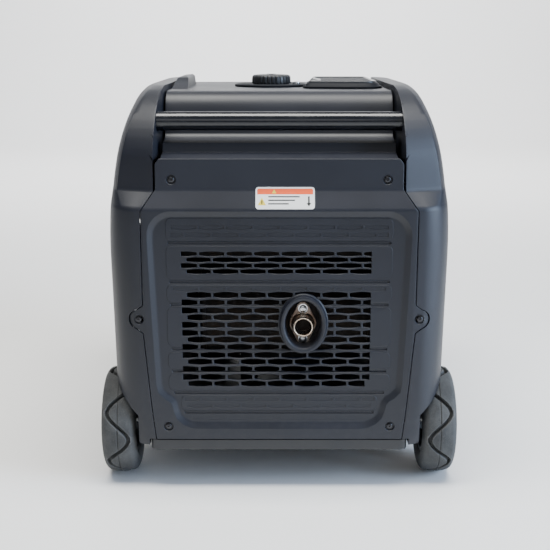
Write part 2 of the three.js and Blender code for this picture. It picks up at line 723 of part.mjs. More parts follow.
function towHandle() {
  const grip = rod(handleTubeRadius, "x", -handleHalfSpan, handleHalfSpan, [0, handleY, carryBarHeight]);
  const sides = [-1, 1].flatMap((side) => {
    const corner = new THREE.SphereGeometry(handleTubeRadius, 16, 8).rotateX(Math.PI / 2);
    return [
      rod(handleTubeRadius, "y", handleY - handleArm, handleY, [side * handleHalfSpan, 0, carryBarHeight]),
      solid(corner.translate(side * handleHalfSpan, handleY, carryBarHeight)),
    ];
  });
  return join(grip, ...sides);
}

function handleGrip() {
  const [inner, outer, half] = [handleTubeRadius + seat, handleTubeRadius + 4, 92];
  const profile = [[inner, -half], [outer - 1, -half], [outer, -half + 2], [outer, half - 2],
    [outer - 1, half], [inner, half]];
  return turned([...profile, profile[0]], "x", [0, handleY, carryBarHeight], 24);
}

function handleGuide(side) {
  const x = side * handleHalfSpan;
  const half = handleTubeRadius + guideWall;
  const front = handleY - 75;
  const body = block(
    x - half, x + half, front - guideLength, front, carryBarHeight - half - 1.5, lidTop - wall - seat,
  );
  return cut(body, rod(handleTubeRadius + 0.5, "y", 0, far, [x, 0, carryBarHeight]));
}

// ---------------------------------------------------------------- exhaust
const outletFace = -halfLength + 5; // mouth of the outlet tube
const flangeBack = -halfLength + 30;

function exhaustFlange() {
  const [waist, tip] = [outletRadius + 4, flangeBoltReach + 9];
  const right = [[0, -tip], [9, 5 - tip], [waist, -6], [waist, 6], [9, tip - 5], [0, tip]];
  const left = right.slice(1, -1).toReversed().map(([x, z]) => [-x, z]);
  const outline = [...right, ...left].map(([x, z]) => [exhaustX + x, exhaustHeight + z]);
  const plate = prism(outline, "y", flangeBack - 5, flangeBack);
  const tube = rod(outletRadius, "y", outletFace, flangeBack - 1, [exhaustX, 0, exhaustHeight], 20);
  const bore = rod(outletRadius - 2, "y", -far, far, [exhaustX, 0, exhaustHeight], 20);
  return cut(join(plate, tube), bore, ...flangeBoltHoles());
}

const boltRadius = 2.6;

function flangeBoltHoles() {
  return [-1, 1].map((side) =>
    rod(boltRadius + seat, "y", -far, far, [exhaustX, 0, exhaustHeight + side * flangeBoltReach], 12),
  );
}

function screen() {
  return rod(outletRadius - 2 - seat, "y", outletFace + 3, outletFace + 5, [exhaustX, 0, exhaustHeight]);
}

function flangeScrew(side) {
  const centre = [exhaustX, 0, exhaustHeight + side * flangeBoltReach];
  const under = flangeBack - 5 - seat;
  const profile = [[0, under - 4], [3.5, under - 3.6], [5, under - 2], [5, under], [0, under]];
  const head = turned(profile, "y", centre, 16);
  return join(head, rod(boltRadius, "y", under - 1, flangeBack + 4, centre, 12));
}

const mufflerY = -halfLength + 88;
const mufflerHalf = [118, 52, 58];
const pipeX = 14;
const pipeHeight = exhaustHeight + 8; // where the exhaust pipe meets the muffler

function muffler() {
  const [w, d, h] = mufflerHalf;
  const drum = prism(oval(mufflerY, exhaustHeight, d, h), "x", -w + 10, w + 10, { thickness: 6, size: 6 });
  const bead = oval(mufflerY, exhaustHeight, d + 3, h + 3);
  const seams = [-w + 18, w + 2].map((x) => prism(bead, "x", x - 2, x + 2));
  const neck = rod(outletRadius + 1, "y", flangeBack + seat, mufflerY - 20, [exhaustX, 0, exhaustHeight], 20);
  const [bossHalf, bossReach] = [outletRadius + 3.5, flangeBoltReach + 8];
  const boss = block(exhaustX - bossHalf, exhaustX + bossHalf, flangeBack + seat, flangeBack + 8,
    exhaustHeight - bossReach, exhaustHeight + bossReach);
  const threads = block(-far, far, -far, flangeBack + 7, 0, far);
  const holes = flangeBoltHoles().map((hole) => hole.intersect(threads));
  return join(drum, ...seams, cut(join(neck, boss), ...holes));
}

// A bent sheet between the muffler and the engine: a wall, a roof over the muffler and a short lip.
function heatShield() {
  const [lip, wallY] = [mufflerY - 55, mufflerY + 68];
  const [foot, roof] = [exhaustHeight - 79, exhaustHeight + 101];
  const sheet = 1.5;
  const outline = [[wallY, foot], [wallY, roof], [lip, roof], [lip, roof - 12], [lip + sheet, roof - 12],
    [lip + sheet, roof - sheet], [wallY - sheet, roof - sheet], [wallY - sheet, foot]];
  const pipeHole = rod(18, "y", wallY - 10, wallY + 10, [pipeX, 0, pipeHeight + 8]);
  return cut(prism(outline, "x", -150, 150), pipeHole);
}

// ---------------------------------------------------------------- engine and alternator
const engineX = [-58, 84];
const shaftRadius = 12;
const tilt = THREE.MathUtils.degToRad(25);
const cylinderFoot = [14, crankY - 22, crankHeight + 62];
const sumpDepth = 84; // crank axis to the engine's underside
const cylinderSink = -6; // the barrel starts this far below the top of the crankcase
const finTop = 72;
const headTop = 92;
const headHalfWidth = 44;
const headHalfLength = 42;
const portHeight = 82; // exhaust port and spark plug, up the cylinder's axis

// A body drawn about the cylinder's own axis, leaned towards the exhaust end and set on the crankcase.
function onCylinder(body) {
  return solid(geometryOf(body).rotateX(tilt).translate(...cylinderFoot));
}

function crankcase() {
  const [y, z] = [crankY, crankHeight];
  const outline = [[y - 72, z - sumpDepth], [y + 78, z - sumpDepth], [y + 78, z - 60], [y + 62, z - 48],
    [y + 66, z + 10], [y + 40, z + 56], [y + 2, z + 70], [y - 60, z + 44], [y - 66, z - 40],
    [y - 72, z - 60]];
  const body = prism(outline, "x", ...engineX, { thickness: 4, size: 4 });
  const shaft = rod(shaftRadius + 1.5 * seat, "x", -far, far, [0, y, z], 20);
  const cylinderRoom = onCylinder(block(-60, 60, -70, 70, cylinderSink, 60));
  return cut(body, shaft, cylinderRoom);
}

function cylinder() {
  const core = block(-36, 36, -34, 34, cylinderSink + seat, finTop);
  const fins = Array.from({ length: 8 }, (_, i) => block(-48, 48, -45, 45, 8 + i * 8, 11 + i * 8));
  const head = block(-headHalfWidth, headHalfWidth, -headHalfLength, headHalfLength, finTop - 1, headTop);
  return onCylinder(join(core, ...fins, head));
}

function valveCover() {
  const rim = { thickness: 5, size: 5 };
  const cover = prism(roundedRectangle(0, 0, 78, 72, 12), "z", headTop + seat, headTop + 26, rim);
  return onCylinder(cover);
}

function sparkPlug() {
  const root = headHalfWidth + seat;
  const profile = [[0, root], [7, root], [7, root + 8], [5, root + 9], [5, root + 18], [9, root + 20],
    [9, root + 40], [6, root + 44], [0, root + 44]];
  return onCylinder(turned(profile, "x", [0, 0, portHeight], 14));
}

function exhaustPipe() {
  const outwards = axis(0, -1, 0).applyAxisAngle(axis(1, 0, 0), tilt);
  const port = axis(0, -headHalfLength - 1.5 * seat, portHeight);
  const start = port.applyAxisAngle(axis(1, 0, 0), tilt).add(axis(...cylinderFoot));
  const end = axis(pipeX, mufflerY + mufflerHalf[1] + 2 * seat, pipeHeight);
  const [leave, arrive] = [start.clone().addScaledVector(outwards, 26), end.clone().add(axis(0, 34, 8))];
  const path = new THREE.CubicBezierCurve3(start, leave, arrive, end);
  const ring = new THREE.Shape().absarc(0, 0, 11, 0, 2 * Math.PI);
  const sweep = { steps: 8, extrudePath: path, curveSegments: 8, bevelEnabled: false };
  return solid(new THREE.ExtrudeGeometry(ring, sweep));
}

function crankshaft() {
  const shaft = rod(shaftRadius, "x", -150, engineX[1] + 16, [0, 0, 0], 20);
  return join(shaft, rod(20, "x", engineX[1] + 6, engineX[1] + 12, [0, 0, 0], 20));
}

const shaftBore = shaftRadius + seat;
const statorX = [-98, engineX[0] - seat];

function stator() {
  const profile = [[30, statorX[0]], [72, statorX[0]], [72, statorX[1]], [30, statorX[1]]];
  const ring = turned([...profile, profile[0]], "x", [0, 0, 0], 24);
  const slots = Array.from({ length: 12 }, (_, i) => {
    const slot = new THREE.BoxGeometry(60, 7, 24).translate(-112, 0, 66).rotateX((2 * Math.PI * i) / 12);
    return solid(slot);
  });
  return solid(geometryOf(cut(ring, ...slots)).translate(0, crankY, crankHeight));
}

function flywheelRotor() {
  const profile = [[shaftBore, -110], [88, -110], [90, -106], [90, -64], [76, -64], [76, -102], [26, -102],
    [24, -100], [shaftBore, -100]];
  const cup = turned([...profile, profile[0]], "x", [0, 0, 0], 28);
  const blades = Array.from({ length: 12 }, (_, i) => {
    const blade = new THREE.BoxGeometry(18, 3, 40).translate(-118, 0, 66).rotateX((2 * Math.PI * i) / 12);
    return solid(blade);
  });
  return join(cup, ...blades);
}

function fanShroud() {
  const [drum, spool, sheet] = [100, 60, 3]; // radii of the fan's drum and of the rope's spool cover
  const profile = [[drum, -62], [drum, -134], [spool, -146], [spool, -168], [0, -168], [0, -168 + sheet],
    [spool - sheet, -168 + sheet], [spool - sheet, -144], [drum - sheet, -131], [drum - sheet, -62]];
  const shell = turned([...profile, profile[0]], "x", [0, 0, 0], 28);
  const vents = Array.from({ length: 6 }, (_, i) => {
    const angle = (2 * Math.PI * i) / 6;
    return rod(9, "x", -160, -100, [0, 78 * Math.sin(angle), 78 * Math.cos(angle)], 8);
  });
  return solid(geometryOf(cut(shell, ...vents)).translate(0, crankY, crankHeight));
}

const gripStem = 34; // flank to the inner end of the grip's stem

function pullGrip() {
  const rim = { thickness: 5, size: 5, segments: 2 };
  const bar = prism(roundedRectangle(gripY, gripZ, 96, 26, 12), "x", -halfWidth + 2, -halfWidth + 22, rim, 4);
  return join(bar, rod(7, "x", -halfWidth + 20, -halfWidth + gripStem, [0, gripY, gripZ], 14));
}

const starterRope = () => rod(2.5, "x", -halfWidth + gripStem + seat, -40, [0, gripY, gripZ], 10);

const filterY = -6;
const filterZ = 322;
const filterX = [118, 196];

function airFilterBox() {
  const [length, height, lip] = [116, 108, 3];
  const rim = { thickness: 4, size: 4 };
  const box = prism(roundedRectangle(filterY, filterZ, length, height, 12), "x", ...filterX, rim);
  const flange = roundedRectangle(filterY, filterZ, length + 2 * lip, height + 2 * lip, 12 + lip - 1);
  return join(box, prism(flange, "x", filterX[0] + 42, filterX[0] + 46));
}

const carburettorY = 19;
const carburettorZ = 314;

function carburettor() {
  const [right, left] = [filterX[0] - seat, filterX[0] - 28];
  const body = block(left, right, carburettorY - 19, carburettorY + 19, carburettorZ - 22, carburettorZ + 22);
  const bowl = rod(13, "z", carburettorZ - 38, carburettorZ - 21, [left + 14, carburettorY, 0], 18);
  const intake = rod(12, "x", left - 14, left + 1, [0, carburettorY, carburettorZ + 2], 16);
  return join(body, bowl, intake);
}

function engineMount(y) {
  const [from, to] = [engineX[0] - 4, engineX[1] + 6];
  const [foot, top] = [panFloor + seat, crankHeight - sumpDepth - seat];
  const plate = block(from, to, y - 14, y + 14, foot, panFloor + 8);
  const pads = [from + 16, to - 18].map((x) => rod(13, "z", panFloor + 7, top, [x, y, 0], 16));
  const rail = block(from, to, y - 10, y + 10, top - 12 + seat, top);
  return join(plate, ...pads, rail);
}

// ---------------------------------------------------------------- fuel tank, inverter and battery
const tankTop = lidTop - wall - 12;
const tankBottom = 400;
const tankWidth = 236;
const tankLength = 330;
const neckRadius = 24;
const neckTop = lidTop - 2;
const mouthRadius = 20;

// A moulded tank with a corner left out for the service hatch's well and a neck up to the cap.
function fuelTank() {
  const rim = { thickness: 8, size: 8, segments: 2 };
  const shell = prism(roundedRectangle(0, 0, tankWidth, tankLength, 26), "z", tankBottom, tankTop, rim);
  const plugWell = prism(roundedRectangle(92, -102, 120, 150, 18), "z", 0, far);
  const neck = rod(neckRadius, "z", tankTop - 5, neckTop, [capX, capY, 0], 24);
  const mouth = rod(mouthRadius, "z", tankTop - 40, far, [capX, capY, 0], 24);
  return cut(join(cut(shell, plugWell), neck), mouth);
}

function fuelStrainer() {
  const [outer, inner] = [mouthRadius - seat, mouthRadius - 2.4];
  const [top, bottom] = [neckTop - seat - 3, lidTop - 30];
  const profile = [[outer, top], [outer, bottom], [inner, bottom], [inner, top]];
  return turned([...profile, profile[0]], "z", [capX, capY, 0], 24);
}

const inverterY = halfLength - 95;
const batteryY = halfLength - 89;

function inverterModule() {
  const [left, right, foot, top] = [-10, 140, 90, 190];
  const [back, front] = [inverterY - 32, inverterY + 32];
  const base = block(left, right, back, front, foot, top);
  const fins = Array.from({ length: 9 }, (_, i) => left + 4 + i * 16.5).map((x) =>
    block(x, x + 4, back - 28, back + 1, foot + 4, top - 4),
  );
  const legs = block(left + 6, right - 6, back + 8, front - 8, panFloor + seat, foot + 1);
  return join(base, ...fins, legs);
}

function battery() {
  const [left, right, foot, height] = [-146, -76, panFloor + seat, 96];
  const box = block(left, right, batteryY - 56, batteryY + 56, foot, foot + height);
  const posts = [-41, 41].map((along) => {
    const y = batteryY + along;
    return block(left + 28, right - 28, y - 7, y + 7, foot + height - 1, foot + height + 8);
  });
  return join(box, ...posts);
}

// ---------------------------------------------------------------- materials
function finish(color, roughness, metalness = 0) {
  return new THREE.MeshStandardMaterial({ color, roughness, metalness });
}

const materials = {
  housing: finish(0x2f343d, 0.62),
  blackPlastic: finish(0x15171b, 0.45),
  glossBlack: finish(0x0d0f13, 0.25),
  paintedSteel: finish(0x14161a, 0.35, 0.3),
  rubber: finish(0x2a2b2d, 0.9),
  stainless: finish(0x9a8f86, 0.4, 1),
  zinc: finish(0xc8ccd0, 0.3, 1),
  castAluminium: finish(0x9c9fa2, 0.55, 0.9),
  darkSheet: finish(0x2c2a29, 0.6, 0.8),
  tank: finish(0x1c1d20, 0.5),
  red: finish(0xb3221c, 0.4),
  screenGlass: finish(0x10202a, 0.1),
  copper: finish(0x8a4f2c, 0.4, 0.9),
};

// ---------------------------------------------------------------- assembly
function piece(name, body, material) {
  const made = new THREE.Mesh(geometryOf(body), materials[material]);
  made.name = name;
  return made;
}

function group(position, ...children) {
  const made = new THREE.Group();
  made.position.set(...position);
  made.add(...children);
  return made;
}

const generator = new THREE.Group();

generator.add(
  piece("base_pan", basePan(), "paintedSteel"),
  piece("front_stand", frontStand(), "paintedSteel"),
  piece("left_foot", rubberFoot(-standReach), "rubber"),
  piece("right_foot", rubberFoot(standReach), "rubber"),
  piece("left_side_panel", leftSidePanel(), "housing"),
  piece("right_side_panel", rightSidePanel(), "housing"),
  piece("rear_panel", rearPanel(), "housing"),
  piece("front_panel", frontPanel(), "housing"),
  piece("top_cover", topCover(), "housing"),
  piece("cap_dish", capDish(), "glossBlack"),
  piece("service_hatch", serviceHatch(), "glossBlack"),
  piece("service_door", serviceDoor(), "housing"),
  piece("door_latch", doorLatch(), "blackPlastic"),
);

generator.add(group([0, axleY, wheelRadius], piece("axle", axle(), "zinc")));
for (const [side, name] of [[-1, "left"], [1, "right"]]) {
  const centre = side * (tyreInnerX + tyreWidth / 2);
  generator.add(
    group(
      [centre, axleY, wheelRadius],
      piece(name + "_tyre", tyre(), "rubber"),
      piece(name + "_wheel_hub", wheelHub(), "blackPlastic"),
    ),
    piece(name + "_handle_guide", handleGuide(side), "blackPlastic"),
  );
}

generator.add(
  group([0, -halfLength + carryBarInset, carryBarHeight], piece("carry_bar", carryBar(), "paintedSteel")),
  piece("tow_handle", towHandle(), "paintedSteel"),
  piece("tow_handle_grip", handleGrip(), "rubber"),
  group([capX, capY, 0], piece("fuel_cap", fuelCap(), "blackPlastic")),
);

generator.add(
  piece("exhaust_flange", exhaustFlange(), "stainless"),
  piece("spark_arrestor_screen", screen(), "darkSheet"),
  piece("flange_screw_upper", flangeScrew(1), "zinc"),
  piece("flange_screw_lower", flangeScrew(-1), "zinc"),
  piece("muffler", muffler(), "darkSheet"),
  piece("heat_shield", heatShield(), "darkSheet"),
  piece("exhaust_pipe", exhaustPipe(), "darkSheet"),
);

generator.add(
  piece("crankcase", crankcase(), "castAluminium"),
  piece("cylinder", cylinder(), "castAluminium"),
  piece("valve_cover", valveCover(), "paintedSteel"),
  piece("spark_plug", sparkPlug(), "blackPlastic"),
  piece("stator", stator(), "copper"),
  piece("fan_shroud", fanShroud(), "paintedSteel"),
  piece("air_filter_box", airFilterBox(), "blackPlastic"),
  piece("carburettor", carburettor(), "castAluminium"),
  piece("rear_engine_mount", engineMount(crankY - 52), "rubber"),
  piece("front_engine_mount", engineMount(crankY + 58), "rubber"),
  piece("pull_grip", pullGrip(), "blackPlastic"),
  piece("starter_rope", starterRope(), "rubber"),
  group(
    [0, crankY, crankHeight],
    piece("crankshaft", crankshaft(), "zinc"),
    piece("flywheel_rotor", flywheelRotor(), "darkSheet"),
  ),
);

generator.add(
  piece("fuel_tank", fuelTank(), "tank"),
  piece("fuel_strainer", fuelStrainer(), "zinc"),
  piece("inverter_module", inverterModule(), "castAluminium"),
  piece("battery", battery(), "blackPlastic"),
);

generator.add(
  piece("control_panel", controlPanel(), "blackPlastic"),
  piece("start_button", knobOnStem(buttonPlace, 7), "red"),
  piece("engine_dial", engineDial(), "blackPlastic"),
  piece("breaker_button", knobOnStem(breakerPlace, 7), "blackPlastic"),
  piece("economy_switch", rocker(), "blackPlastic"),
  ...outletPlaces.map(([name, x]) => piece(name, outlet(x), "blackPlastic")),
  piece("locking_outlet", lockingOutlet(), "blackPlastic"),
  piece("ground_terminal", groundTerminal(), "zinc"),
  piece("display", display(), "screenGlass"),
);

export default generator;
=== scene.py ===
import json
import math

import bmesh
import bpy
from mathutils import Matrix, Vector, noise

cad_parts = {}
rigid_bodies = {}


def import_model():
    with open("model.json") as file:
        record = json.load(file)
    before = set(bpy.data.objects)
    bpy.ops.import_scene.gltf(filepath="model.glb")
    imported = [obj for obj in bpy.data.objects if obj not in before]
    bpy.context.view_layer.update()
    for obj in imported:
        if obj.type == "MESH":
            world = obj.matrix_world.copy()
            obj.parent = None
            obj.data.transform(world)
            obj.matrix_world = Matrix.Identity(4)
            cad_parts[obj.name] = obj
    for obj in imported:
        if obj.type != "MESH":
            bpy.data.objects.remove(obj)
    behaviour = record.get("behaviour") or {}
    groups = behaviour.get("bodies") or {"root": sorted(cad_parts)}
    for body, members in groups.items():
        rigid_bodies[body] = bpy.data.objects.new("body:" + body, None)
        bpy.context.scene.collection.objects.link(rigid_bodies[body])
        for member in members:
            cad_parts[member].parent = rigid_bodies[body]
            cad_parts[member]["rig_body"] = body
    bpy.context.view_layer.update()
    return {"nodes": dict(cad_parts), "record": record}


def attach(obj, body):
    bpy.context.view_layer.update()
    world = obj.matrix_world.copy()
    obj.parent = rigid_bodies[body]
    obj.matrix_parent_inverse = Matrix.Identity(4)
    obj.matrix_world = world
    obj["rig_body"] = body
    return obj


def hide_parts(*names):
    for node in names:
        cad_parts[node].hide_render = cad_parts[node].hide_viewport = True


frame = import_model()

MM = 0.001


# ------------ camera
def add_camera():
    data = bpy.data.cameras.new("view")
    data.sensor_width = 36
    data.lens = 69.12
    camera = bpy.data.objects.new("view", data)
    bpy.context.scene.collection.objects.link(camera)
    camera.location = (-0.0055, -1.615, 0.583)
    camera.rotation_euler = (math.radians(90 - 12.4), 0, 0)
    bpy.context.scene.camera = camera


add_camera()


# ------------ shader sums
class Value:
    """A shader socket that can stand in a sum: each operator adds the Math node that works it out."""

    def __init__(self, tree, socket):
        self.tree, self.socket = tree, socket

    def math(self, operation, *terms):
        node = self.tree.nodes.new("ShaderNodeMath")
        node.operation = operation
        for socket, term in zip(node.inputs, terms):
            feed(self.tree, socket, term)
        return Value(self.tree, node.outputs[0])

    def __add__(self, other):
        return self.math("ADD", self, other)

    def __radd__(self, other):
        return self.math("ADD", other, self)

    def __sub__(self, other):
        return self.math("SUBTRACT", self, other)

    def __rsub__(self, other):
        return self.math("SUBTRACT", other, self)

    def __mul__(self, other):
        return self.math("MULTIPLY", self, other)

    def __rmul__(self, other):
        return self.math("MULTIPLY", other, self)

    def at_most(self, other):
        return self.math("MINIMUM", self, other)

    def step(self, low, high):
        """0 below low, 1 above high, and smooth between them; falling where low is above high."""
        if low > high:
            return 1 - self.step(high, low)
        node = self.tree.nodes.new("ShaderNodeMapRange")
        node.interpolation_type = "SMOOTHSTEP"
        feed(self.tree, node.inputs["Value"], self)
        node.inputs["From Min"].default_value = low
        node.inputs["From Max"].default_value = high
        return Value(self.tree, node.outputs["Result"])


def feed(tree, socket, term):
    """Links a value to a socket, or sets the socket to a plain number, colour or vector."""
    if isinstance(term, Value):
        tree.links.new(term.socket, socket)
    else:
        socket.default_value = term


class Finish:
    """A material: a principled shader, and the nodes that vary it over the surface."""

    def __init__(self, name, color, roughness, metallic=0.0, **fixed):
        self.material = bpy.data.materials.new(name)
        self.material.use_nodes = True
        self.tree = self.material.node_tree
        self.shader = self.tree.nodes["Principled BSDF"]
        self.put("Base Color", (*color, 1))
        self.put("Roughness", roughness)
        self.put("Metallic", metallic)
        for socket, value in fixed.items():
            self.put(socket.replace("_", " "), value)

    def put(self, socket, term):
        feed(self.tree, self.shader.inputs[socket], term)

    def node(self, kind, settings=None, inputs=None, output=0):
        made = self.tree.nodes.new("ShaderNode" + kind)
        for key, value in (settings or {}).items():
            setattr(made, key, value)
        for key, term in (inputs or {}).items():
            feed(self.tree, made.inputs[key], term)
        return Value(self.tree, made.outputs[output])

    def place(self, stretch=(1, 1, 1)):
        where = self.node("TexCoord", output="Object")
        return self.node("VectorMath", {"operation": "MULTIPLY"}, {0: where, 1: stretch})

    def axis(self, letter):
        return self.node("SeparateXYZ", inputs={0: self.place()}, output=letter)

    def facing(self, letter):
        """How far the surface faces along an axis, from -1 to 1."""
        normal = self.node("NewGeometry", output="Normal")
        return self.node("SeparateXYZ", inputs={0: normal}, output=letter)

    def grain(self, per_metre, detail, roughness=0.5, stretch=(1, 1, 1), distortion=0.0):
        inputs = {
            "Vector": self.place(stretch), "Scale": per_metre, "Detail": detail, "Roughness": roughness,
            "Distortion": distortion,
        }
        return self.node("TexNoise", inputs=inputs)

    def cells(self, per_metre):
        inputs = {"Vector": self.place(), "Scale": per_metre}
        return self.node("TexVoronoi", {"feature": "F1"}, inputs, "Distance")

    def worn_edge(self, start, end):
        return self.node("NewGeometry", output="Pointiness").step(start, end)

    def mix(self, share, first, second):
        """Two colours, each plain or a value, mixed by a share."""
        made = self.tree.nodes.new("ShaderNodeMix")
        made.data_type = "RGBA"
        feed(self.tree, made.inputs[0], share)
        for socket, term in ((made.inputs[6], first), (made.inputs[7], second)):
            feed(self.tree, socket, term if isinstance(term, Value) else (*term, 1))
        return Value(self.tree, made.outputs[2])

    def bump(self, *layers):
        """Raises the surface by each (height, distance in metres), finest last."""
        normal = None
        for height, distance in layers:
            inputs = {"Height": height, "Distance": distance, "Strength": 1.0}
            if normal is not None:
                inputs["Normal"] = normal
            normal = self.node("Bump", inputs=inputs)
        self.put("Normal", normal)


# ------------ finishes
def moulded_plastic(name, color, roughness, dust=0.22, gloss=0.5):
    f = Finish(name, color, roughness, Specular_IOR_Level=gloss)
    blotch = f.grain(9, 3)
    fine = f.grain(2600, 2)
    lie = f.facing("Z").step(0.2, 0.95) * f.grain(60, 4).step(0.35, 0.75)
    low = f.axis("Z").step(0.2, 0.05) * f.grain(110, 5).step(0.42, 0.7)
    powder = (lie * 0.35 + low * 0.8).at_most(1.0) * dust
    lighter = tuple(c * 1.25 + 0.001 for c in color)
    body = f.mix(blotch.step(0.3, 0.7), color, lighter)
    f.put("Base Color", f.mix(powder, body, (0.30, 0.28, 0.25)))
    scratch = f.grain(700, 2, stretch=(1, 0.06, 1)).step(0.66, 0.74)
    f.put("Roughness", roughness + (blotch - 0.5) * 0.16 + powder * 0.5 - scratch * 0.08)
    depth = 0.00005
    f.bump((f.grain(14, 2), 0.0004), (f.cells(1100), depth), (fine, depth * 0.6))
    return f.material


def powder_coat(name, color, roughness):
    f = Finish(name, color, roughness, Specular_IOR_Level=0.6)
    peel = f.grain(420, 2)
    chip = f.worn_edge(0.56, 0.62) * f.grain(300, 4).step(0.55, 0.62)
    grime = f.grain(30, 5).step(0.45, 0.7)
    coat = f.mix(grime * 0.3, color, tuple(c * 1.6 + 0.003 for c in color))
    f.put("Base Color", f.mix(chip, coat, (0.32, 0.31, 0.30)))
    f.put("Metallic", chip * 0.8)
    f.put("Roughness", roughness + grime * 0.08 + (f.grain(90, 3) - 0.5) * 0.06)
    f.bump((peel, 0.00004), (f.grain(1900, 1), 0.00001))
    return f.material


def gloss_trim(name, color):
    f = Finish(name, color, 0.22, Coat_Weight=0.2, Coat_Roughness=0.15)
    dust = f.facing("Z").step(0.3, 1.0) * f.grain(500, 3).step(0.52, 0.7) * 0.04
    scuff = f.grain(900, 2, stretch=(0.05, 1, 1)).step(0.68, 0.75) * 0.12
    f.put("Base Color", f.mix(dust, color, (0.4, 0.39, 0.37)))
    f.put("Roughness", 0.26 + dust * 1.6 + scuff + f.grain(40, 3) * 0.08)
    f.bump((f.grain(60, 2), 0.00012), (f.grain(1500, 1), 0.00001))
    return f.material


def tyre_rubber(name):
    f = Finish(name, (0.026, 0.027, 0.029), 0.85)
    dusty = f.grain(38, 5, 0.65).step(0.35, 0.72)
    specks = f.grain(900, 3).step(0.55, 0.72)
    worn = f.worn_edge(0.5, 0.58)
    base = f.mix(dusty * 0.6, (0.026, 0.028, 0.030), (0.085, 0.088, 0.090))
    base = f.mix(worn * 0.4, base, (0.15, 0.15, 0.15))
    f.put("Base Color", f.mix(specks * 0.3, base, (0.17, 0.165, 0.16)))
    f.put("Roughness", 0.74 + dusty * 0.18)
    f.bump((f.grain(140, 4), 0.0005), (f.cells(1300), 0.00012), (f.grain(3000, 2), 0.00008))
    return f.material


def soft_rubber(name):
    f = Finish(name, (0.014, 0.014, 0.015), 0.7)
    dull = f.grain(70, 4).step(0.4, 0.7)
    f.put("Base Color", f.mix(dull * 0.6, (0.012, 0.012, 0.013), (0.04, 0.04, 0.04)))
    f.put("Roughness", 0.62 + dull * 0.2)
    f.bump((f.cells(1500), 0.00008), (f.grain(2600, 2), 0.00005))
    return f.material


def heated_steel(name, cool, hot, roughness, metal=1.0):
    """Stainless that has been near the exhaust: straw and brown bands, and patches of soot."""
    f = Finish(name, cool, roughness, metallic=metal)
    bands = f.grain(45, 4, 0.6, distortion=0.6)
    soot = f.grain(120, 5).step(0.52, 0.75)
    tint = f.mix(bands.step(0.35, 0.7), cool, hot)
    f.put("Base Color", f.mix(soot * 0.7, tint, (0.045, 0.038, 0.034)))
    f.put("Metallic", metal * (1 - soot * 0.6))
    f.put("Roughness", roughness + soot * 0.35 + bands * 0.12)
    f.bump((f.grain(240, 4), 0.0002), (f.grain(1800, 3), 0.00006))
    return f.material


def bright_metal(name, color, roughness):
    f = Finish(name, color, roughness, metallic=1.0)
    streak = f.grain(900, 3)
    stain = f.grain(80, 5).step(0.5, 0.75)
    f.put("Base Color", f.mix(stain * 0.4, color, tuple(c * 0.5 for c in color)))
    f.put("Roughness", roughness + stain * 0.2 + (streak - 0.5) * 0.2)
    f.bump((streak, 0.00003), (f.grain(160, 3), 0.00008))
    return f.material


def cast_metal(name, color):
    f = Finish(name, color, 0.5, metallic=0.9)
    grit = f.grain(1100, 4, 0.7)
    oil = f.grain(35, 4).step(0.5, 0.75)
    f.put("Base Color", f.mix(oil * 0.6, color, (0.10, 0.085, 0.07)))
    f.put("Roughness", 0.48 + (grit - 0.5) * 0.3 - oil * 0.1)
    f.bump((f.grain(200, 3), 0.0002), (grit, 0.00012))
    return f.material


def printed(name, color, roughness=0.35):
    f = Finish(name, color, roughness, Coat_Weight=0.3, Coat_Roughness=0.2)
    rub = f.grain(420, 4).step(0.55, 0.75)
    f.put("Base Color", f.mix(rub * 0.12, color, (0.35, 0.34, 0.33)))
    f.put("Roughness", roughness + rub * 0.2)
    f.bump((f.grain(500, 2), 0.00003),)
    return f.material


def display_window(name):
    f = Finish(name, (0.006, 0.012, 0.016), 0.08, Coat_Weight=1.0, Coat_Roughness=0.03)
    smear = f.grain(60, 4).step(0.5, 0.8)
    f.put("Roughness", 0.07 + smear * 0.14)
    f.put("Base Color", f.mix(smear * 0.3, (0.006, 0.012, 0.016), (0.02, 0.026, 0.03)))
    return f.material


def pale_floor(name):
    f = Finish(name, (0.86, 0.86, 0.86), 0.6)
    f.put("Roughness", 0.55 + f.grain(12, 3) * 0.12)
    f.put("Base Color", f.mix(f.grain(3, 3), (0.85, 0.85, 0.85), (0.88, 0.88, 0.88)))
    return f.material


HOUSING = moulded_plastic("charcoal_housing", (0.0045, 0.006, 0.012), 0.46, dust=0.02, gloss=0.46)
BLACK = moulded_plastic("black_plastic", (0.008, 0.009, 0.012), 0.42, dust=0.06)
MATTE = moulded_plastic("matte_black", (0.006, 0.007, 0.010), 0.55, dust=0.02, gloss=0.12)
TANK = moulded_plastic("tank_plastic", (0.02, 0.021, 0.024), 0.5)
TRIM = gloss_trim("gloss_trim", (0.008, 0.010, 0.015))
COAT = powder_coat("powder_coat", (0.004, 0.005, 0.008), 0.17)
SATIN = powder_coat("satin_coat", (0.005, 0.006, 0.009), 0.45)
TYRE_FINISH = tyre_rubber("tyre_rubber")
RUBBER = soft_rubber("soft_rubber")
STAINLESS = heated_steel("heated_stainless", (0.60, 0.51, 0.45), (0.42, 0.27, 0.19), 0.5, 0.4)
CHAMPAGNE = heated_steel("champagne_tube", (0.78, 0.68, 0.56), (0.55, 0.42, 0.32), 0.2)
SHEET = heated_steel("blackened_sheet", (0.022, 0.021, 0.021), (0.040, 0.030, 0.024), 0.6)
ZINC = bright_metal("zinc_plate", (0.72, 0.73, 0.75), 0.22)
# the cast parts are made darker than cast aluminium: painted shade for the dim inside of the housing, behind
# the grille
CAST = cast_metal("cast_aluminium", (0.13, 0.13, 0.135))
COPPER = bright_metal("copper_winding", (0.40, 0.16, 0.07), 0.3)
RED = printed("red_button", (0.42, 0.015, 0.012), 0.3)
WINDOW = display_window("display_window")
WHITE = printed("label_white", (0.80, 0.80, 0.79))
ORANGE = printed("label_orange", (0.85, 0.11, 0.03))
YELLOW = printed("label_yellow", (0.75, 0.58, 0.06))
INK = printed("label_ink", (0.01, 0.01, 0.01), 0.5)
